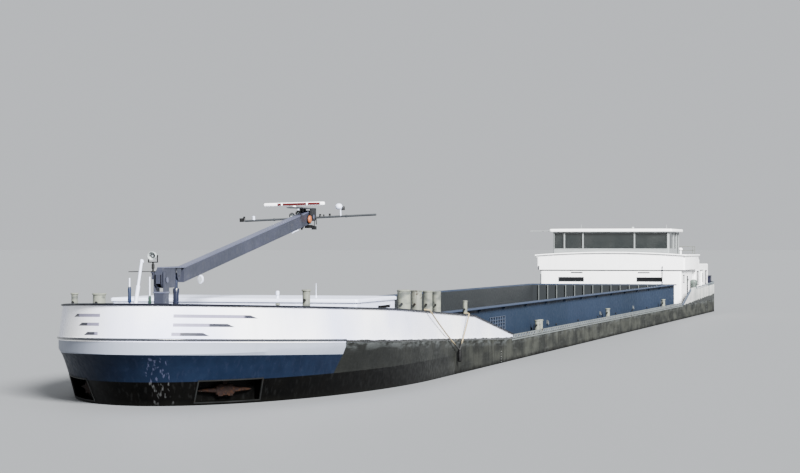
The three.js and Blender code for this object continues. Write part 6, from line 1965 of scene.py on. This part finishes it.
def plate_top(x):
    """The plate stops under the rail, and comes up to full height just forward of it."""
    drop = min(1.0, max(0.0, (RAIL_FORE + 0.03 - x) / 0.03))
    return stern_top(x) - RAIL_DEEP * drop


def stern_bands(tree, coords):
    """White worn back in waves over bare weathered steel, and a grey slant at the front end."""
    x, y, z = node(tree, "SeparateXYZ", {0: coords}).outputs
    line = span(tree, x, WALL_FORE, STERN_X, 0.417, 0.468)
    wavy = maths(tree, "MULTIPLY_ADD", noise(tree, coords, 16, 4.0, (1, 1, 1), (1, 2, 3)), 0.03, -0.015)
    shabby = maths(tree, "LESS_THAN", z, maths(tree, "ADD", line, wavy))
    streaky = noise(tree, coords, 9, 5.0, (1, 1, 0.35), (6, 2, 3))
    white = mixed(tree, span(tree, streaky, 0.4, 0.64), rgb(228, 228, 227), rgb(216, 218, 217))
    bare = mixed(tree, span(tree, noise(tree, coords, 14, 5.0), 0.38, 0.64), rgb(84, 88, 88),
                 rgb(122, 125, 121))
    colour_now = mixed(tree, shabby, white, bare)
    rise = maths(tree, "MULTIPLY_ADD", maths(tree, "SUBTRACT", WALL_FORE, x), 0.225, 0.408)
    slant = both(tree, over(tree, z, rise), over(tree, x, WALL_FULL))
    return mixed(tree, slant, colour_now, rgb(150, 160, 174))


stern_paint = finish("stern_paint", (222, 224, 224), 0.5, mottle=0.05, grime=0.12, streaks=0.1, rust=0.03,
                     bands=stern_bands, shine=0.15)
slant_xs = levels(WALL_FULL, WALL_FORE, 0.04)[1:]
plan = [(x, HALF_BEAM) for x in slant_xs[::-1]] + stern_ring(AFT_DECK_Z, 0, 9.31, 96)
plan = pruned(plan + [(x, -HALF_BEAM) for x in slant_xs], 0.002)
wall_path = plan[:1]
for a, b in zip(plan, plan[1:]):
    parts = math.ceil(math.dist(a, b) / 0.03)
    wall_path += [tuple(Vector(a).lerp(Vector(b), i / parts)) for i in range(1, parts + 1)]
bm = bmesh.new()
foot = AFT_DECK_Z + 0.0005


def plate_section(x):
    """(distance outwards, height): the plate, with its edge rounded."""
    top = plate_top(x)
    return [(0, foot), (0, (foot + top) / 2), (0, top - 0.001), (-0.001, top), (-0.007, top),
            (-0.008, top - 0.001), (-0.008, foot)]


loft(bm, wall_along(wall_path, plate_section))
piece("stern_bulwark_plating", bm, stern_paint, "hull", ["bulwark_stern"], smooth=50)
rail_path = [(x, y) for x, y in wall_path if x < RAIL_FORE]
bm = bmesh.new()
pipe = []
for x, y in rail_path:
    if x > STERN_X + 0.008:
        in_from_edge = 0.004 * (1 if x > STERN_X + 0.3 else 0.7)
        pipe.append((x, y - math.copysign(in_from_edge, y), stern_top(x) - 0.0035))
tube(bm, pipe, 0.0034)
spacing, gone = 0.055, 0.0
for (x0, y0), (x1, y1) in zip(rail_path, rail_path[1:]):
    span_now = math.dist((x0, y0), (x1, y1))
    gone += span_now
    while gone >= spacing:
        gone -= spacing
        share = 1 - gone / span_now
        along = Vector((x1 - x0, y1 - y0, 0)).normalized()
        inward = Vector((along.y, -along.x, 0)) * 0.004
        here = Vector((x0 + (x1 - x0) * share, y0 + (y1 - y0) * share, 0))
        if here.y * inward.y > 0:
            inward = -inward
        low, high = plate_top(here.x) - 0.003, stern_top(here.x) - 0.0035
        lean = along * 0.012 * (1 if here.y > 0 else -1)
        tube(bm, [here + inward + Vector((0, 0, low)), here + inward - lean + Vector((0, 0, high))],
             0.0024, 0, 8)
piece("stern_bulwark_rail", bm, finish("rail_grey", (186, 194, 198), mottle=0.1, grime=0.2, rust=0.1),
      "hull", smooth=60)
bm = bmesh.new()
for side in (1, -1):
    for aft in (9.3, 10.45):
        x = station(aft)
        for dx in (0.0, -0.034):
            turned(bm, [(0, 0.0008), (0.012, 0.0008), (0.0115, 0.05), (0.0135, 0.052), (0.0135, 0.056),
                        (0, 0.057)], (x + dx, side * 0.545, AFT_DECK_Z))
piece("quarter_bollards", bm, post_paint, "hull", smooth=50)


# Vent drum: a steel drum with a domed lid over a ring of upright slots, bolted to the side deck to port. Its
# pale green paint has begun to rust.
drum_green = finish("drum_green", (168, 180, 174), 0.5, mottle=0.12, grime=0.3, streaks=0.3, rust=0.2)
VENT = (station(9.7), 0.54, AFT_DECK_Z)
bm = bmesh.new()
turned(bm, [(0, 0.0008), (0.0225, 0.0008), (0.0225, 0.004), (0.0205, 0.006), (0.0205, 0.078), (0.024, 0.081),
            (0.024, 0.158), (0.0215, 0.1625), (0.016, 0.1665), (0.008, 0.168), (0, 0.1682)],
       VENT, "z", 0, 40)
for z in (0.092, 0.148):
    turned(bm, [(0.0241, z - 0.002), (0.0249, z), (0.0241, z + 0.002), (0.0235, z), (0.0241, z - 0.002)],
           VENT, "z", 0, 40)
piece("side_vent_drum", bm, drum_green, "hull", ["side_vent"], smooth=40)
# The slots are thin plates laid on the drum and painted dark: painted shade in place of open slots.
SLOTS = 15
bm = bmesh.new()
for i in range(SLOTS):
    part = bmesh.new()
    block(part, (-0.0022, 0.0022), (0.0, 0.0008), (-0.02, 0.02))
    middle = Matrix.Translation(Vector(VENT) + Vector((0, 0, 0.12)))
    turn = Matrix.Rotation(2 * math.pi * i / SLOTS, 4, "Z")
    part.transform(middle @ turn @ Matrix.Translation((0, 0.0236, 0)))
    merged(bm, part)
piece("side_vent_slots", bm, slot_shade_paint, "hull")


# Stern winch: a drum of steel rope between two cheeks on a welded base, with a motor at its end. A narrow
# steel locker, painted dark blue, stands beside the cabin.
WINCH_X = station(10.88)
ROPE_AXLE = (WINCH_X, 0, AFT_DECK_Z + 0.044)
bm = bmesh.new()
for y in (-0.07, 0.07):
    block(bm, (WINCH_X - 0.04, WINCH_X + 0.04), (y - 0.02, y + 0.02),
          (AFT_DECK_Z + 0.0008, AFT_DECK_Z + 0.012))
for x in (-0.034, 0.034):
    block(bm, (WINCH_X + x - 0.006, WINCH_X + x + 0.006), (-0.09, 0.09),
          (AFT_DECK_Z + 0.0015, AFT_DECK_Z + 0.0105))
cheek_plate = [(-0.03, 0.011), (0.03, 0.011), (0.016, 0.06), (0.01, 0.072), (-0.01, 0.072), (-0.016, 0.06)]
for y in (-0.078, 0.07):
    prism(bm, cheek_plate, y, y + 0.008, 0, (WINCH_X, 0, AFT_DECK_Z))
rope_turns = [(0.02 + 0.0022 * (i % 2), -0.064 + 0.0032 * i) for i in range(41)]
turned(bm, [(0, -0.07), (0.032, -0.07), (0.032, -0.066), (0.02, -0.066), *rope_turns, (0.02, 0.066),
            (0.032, 0.066), (0.032, 0.07), (0, 0.07)], ROPE_AXLE, "y", 1, 32)
rod(bm, "y", 0.014, 0.078, 0.1, ROPE_AXLE, 0, 24, 0.002)
rod(bm, "y", 0.006, -0.09, -0.078, ROPE_AXLE, 0, 20, 0.001)
piece("stern_winch_frame", bm, [navy_paint, worn_steel], "hull", ["stern_winch"], smooth=30,
      bevel=0.0006)
bm = bmesh.new()
block(bm, (station(10.85), station(10.77)), (0.5172, 0.536), (AFT_DECK_Z + 0.0008, AFT_DECK_Z + 0.178))
block(bm, (station(10.854), station(10.766)), (0.5165, 0.538), (AFT_DECK_Z + 0.1785, AFT_DECK_Z + 0.185))
piece("stern_locker", bm, finish("locker_blue", (26, 32, 80), 0.4, mottle=0.1, grime=0.2), "hull",
      bevel=0.002)


# Under water: a bronze propeller of four blades in a steel nozzle on a head box, and two plate rudders with
# end plates, on stocks in their trunks.
SHAFT = (PROPELLER_X, 0, SHAFT_Z)
bronze = finish("bronze", (176, 140, 84), 0.32, metallic=0.85, mottle=0.15, grime=0.2, rust=0.05)
under_paint = finish("under_paint", (64, 46, 40), 0.6, mottle=0.2, grime=0.4, streaks=0.2,
                     rust=0.5, shine=0.15)
bm = bmesh.new()
turned(bm, [(0, -0.034), (0.01, -0.034), (0.0155, -0.028), (0.017, -0.014), (0.017, 0.026), (0.0155, 0.034),
            (0, 0.034)], SHAFT, "x", 0, 32)
BLADES = 4
for blade in range(BLADES):
    rings = []
    for i in range(11):
        share = i / 10
        radius = 0.0155 + 0.0645 * share
        chord = 0.012 + 0.048 * math.sin(math.pi * min(1.0, 0.12 + 0.76 * share)) if share < 1 else 0.012
        pitch = math.radians(62 - 34 * share)
        thick = 0.0034 * (1 - 0.62 * share)
        skew = 0.016 * (share ** 2 - 0.2)
        ring = []
        for u, w in ((-0.5, 0), (-0.35, 0.4), (-0.1, 0.5), (0.2, 0.45), (0.42, 0.2), (0.5, 0), (0.42, -0.2),
                     (0.2, -0.45), (-0.1, -0.5), (-0.35, -0.4)):
            chordwise, off = u * chord + skew, w * thick
            x = chordwise * math.cos(pitch) + off * math.sin(pitch)
            around = (chordwise * math.sin(pitch) - off * math.cos(pitch)) / radius
            angle = around + 2 * math.pi * blade / BLADES + math.pi / 4
            ring.append((PROPELLER_X + max(-0.033, min(0.033, x)), radius * math.cos(angle),
                         SHAFT_Z + radius * math.sin(angle)))
        rings.append(ring)
    loft(bm, rings)
piece("propeller_casting", bm, bronze, "propeller", ["propeller"], smooth=50)
bm = bmesh.new()
turned(bm, [(0.098, -0.046), (0.0965, -0.048), (0.0945, -0.048), (0.0905, -0.03), (0.087, -0.008),
            (0.086, 0.012), (0.0875, 0.03), (0.0925, 0.046), (0.0955, 0.048), (0.098, 0.045),
            (0.098, -0.046)], SHAFT, "x", 0, 96)
prism(bm, [(-0.03, 0.0955), (0.042, 0.0955), (0.042, 0.1846), (-0.03, 0.1846)], -0.016, 0.016, 0, SHAFT)
piece("propeller_nozzle_ring", bm, under_paint, "hull", ["propeller_nozzle"], smooth=30,
      bevel=0.0006)
RUDDER_BLADE = [(0.07, 0.0), (0.066, 0.003), (0.056, 0.005), (0.03, 0.006), (-0.02, 0.0052), (-0.08, 0.0028),
                (-0.125, 0.0012)]
RUDDER_PLATE = [(0.07, 0.0), (0.06, 0.0085), (0.03, 0.011), (-0.1, 0.009), (-0.125, 0.006)]
for side, name in SIDES:
    bm = bmesh.new()
    for half_plan, low, high in ((RUDDER_BLADE, 0.0165, 0.2095), (RUDDER_PLATE, 0.014, 0.017),
                                 (RUDDER_PLATE, 0.209, 0.212)):
        plan = half_plan + [(x, -y) for x, y in reversed(half_plan[1:])]
        loft(bm, [[(RUDDER_X + x, side * RUDDER_Y + y, z) for x, y in plan] for z in (low, high)])
    rod(bm, "z", 0.009, 0.2, 0.2357, (RUDDER_X, side * RUDDER_Y, 0), 0, 28)
    piece(f"rudder_plate_{name}", bm, under_paint, f"rudder_{name[0]}",
          [f"rudder_{name}"], smooth=40)


# Fenders: a black rubber body on two lines, hung over each side from the bulwark's cap. The lines are
# polyester rope, cream at the rail and blackened towards the fender.
FENDER = {"x": station(2.03), "y": 0.586, "foot": 0.368, "knot": 0.415, "lines": (1.592, 2.25),
          "rope": 0.0028}
rubber = finish("rubber", (34, 34, 36), 0.6, mottle=0.15, grime=0.3, grain=0.4, scale=2, shine=0.15)


def rope_finish(name):
    """Laid rope: pale at the rail, tarred lower down, with the lay of its strands in the bump."""
    material, tree, shader, coords = new_material(name)
    x, y, z = node(tree, "SeparateXYZ", {0: coords}).outputs
    dark = span(tree, z, 0.452, 0.436)
    tree.links.new(mixed(tree, dark, rgb(214, 206, 182), rgb(60, 60, 58)), shader.inputs["Base Color"])
    shader.inputs["Roughness"].default_value = 0.8
    strands = node(tree, "TexWave", {"Vector": coords, "Scale": 90, "Distortion": 1.0}).outputs["Fac"]
    tree.links.new(node(tree, "Bump", {"Height": strands, "Strength": 0.5, "Distance": 0.001}).outputs[0],
                   shader.inputs["Normal"])
    return material


rope = rope_finish("rope")


def fender_line(aft, side):
    """Across the cap, round its edge and down to the fender, with a little sag."""
    x, edge = station(aft), HALF_BEAM - TUMBLEHOME + CAP_HALF
    height = cap_at(x) + GAP + FENDER["rope"]
    start, turn_at = Vector((x, side * (edge - 0.012), height)), Vector((x, side * edge, height))
    knot = Vector((FENDER["x"], side * FENDER["y"], FENDER["knot"]))
    out, bend = Vector((0, side, 0)), 0.0085
    down = (knot - turn_at).normalized()
    fall = (down - out * down.dot(out)).normalized()
    angle = math.acos(max(-1, min(1, down.dot(out))))
    points = [start, start.lerp(turn_at, 0.5), turn_at]
    points += [turn_at + bend * (math.sin(angle * i / 6) * out + (1 - math.cos(angle * i / 6)) * fall)
               for i in range(1, 7)]
    last = points[-1]
    for i in range(1, 17):
        share = i / 16
        points.append(last.lerp(knot, share) - Vector((0, 0, 0.006 * 4 * share * (1 - share))))
    return points


for side, name in SIDES:
    bm = bmesh.new()
    turned(bm, [(0, 0.0), (0.0045, 0.0), (0.0068, 0.0018), (0.008, 0.0055), (0.008, 0.0415),
                (0.0068, 0.0455), (0.0045, 0.0475), (0.0022, 0.0485), (0, 0.0485)],
           (FENDER["x"], side * FENDER["y"], FENDER["foot"]), "z", 0, 28)
    piece(f"fender_body_{name}", bm, rubber, "hull", [f"fender_{name}"], smooth=50)
    for end, aft in zip(("fore", "aft"), FENDER["lines"]):
        path = fender_line(aft, side)
        bm = bmesh.new()
        tube(bm, path, FENDER["rope"])
        line = piece(f"fender_line_{end}_{name}", bm, rope, "hull",
                     [f"fender_{name}"], smooth=60)


# Draught marks: short plain ticks of white paint, near the fore and the after end of the hold on each side.
# They stand in a ladder of five, long and short by turns.
tick_white = finish("tick_white", (206, 208, 206), 0.5, mottle=0.1, grime=0.3)
for number, aft in enumerate((2.86, 10.2)):
    for side, name in SIDES:
        bm = bmesh.new()
        x = station(aft)
        for i in range(5):
            z = 0.326 + 0.011 * i
            long = 0.011 if i % 2 == 0 else 0.006
            block(bm, (x - long, x), sorted((side * (HALF_BEAM - 0.0009), side * (HALF_BEAM + 0.0004))),
                  (z, z + 0.002))
        piece(f"draught_ticks_{number}_{name}", bm, tick_white, "hull")


# Floor and light: a plain pale floor at the waterline, with an opening that the hull fills, under a soft sky
# and one broad lamp high over the port bow.
FLOOR_REACH = 500
floor_ring = [(x, y) for x, y, _ in bow_ring(lambda x: WATERLINE, 0.004)[1:-1]]
floor_ring += stern_ring(WATERLINE, 0.004)[1:-1]
bm = bmesh.new()
inner = [bm.verts.new((x, y, WATERLINE)) for x, y in floor_ring]
outer = []
for x, y in floor_ring:
    angle = math.atan2(y / HALF_BEAM, x / BOW_X)
    outer.append(bm.verts.new((FLOOR_REACH * math.cos(angle), FLOOR_REACH * math.sin(angle), WATERLINE)))
for i in range(len(inner)):
    j = (i + 1) % len(inner)
    bm.faces.new((inner[i], outer[i], outer[j], inner[j]))
bmesh.ops.recalc_face_normals(bm, faces=bm.faces)
if bm.faces[0].normal.z < 0:
    bmesh.ops.reverse_faces(bm, faces=bm.faces)
floor_mesh = bpy.data.meshes.new("floor")
bm.to_mesh(floor_mesh)
bm.free()
floor = bpy.data.objects.new("floor", floor_mesh)
bpy.context.scene.collection.objects.link(floor)
floor_paint = bpy.data.materials.new("floor_paint")
floor_paint.use_nodes = True
floor_paint.node_tree.nodes["Principled BSDF"].inputs["Base Color"].default_value = (0.142, 0.147, 0.152, 1)
floor_paint.node_tree.nodes["Principled BSDF"].inputs["Roughness"].default_value = 0.6
floor_mesh.materials.append(floor_paint)

world = bpy.data.worlds.new("studio")
bpy.context.scene.world = world
world.use_nodes = True
world.node_tree.nodes["Background"].inputs["Color"].default_value = (0.86, 0.89, 0.93, 1)
world.node_tree.nodes["Background"].inputs["Strength"].default_value = 0.78
LAMPS = [
    # name, strength, how wide the disc of light looks, which way it shines
    ("key", 22, 22, (-0.62, -0.58, -0.55)),
    ("fill", 0.7, 60, (-0.9, 0.5, -0.35)),
]
for name, strength, spread, direction in LAMPS:
    lamp = bpy.data.lights.new(name, "SUN")
    lamp.energy = strength
    lamp.angle = math.radians(spread)
    made = bpy.data.objects.new(name, lamp)
    made.rotation_mode = "QUATERNION"
    made.rotation_quaternion = Vector(direction).to_track_quat("-Z", "Y")
    bpy.context.scene.collection.objects.link(made)
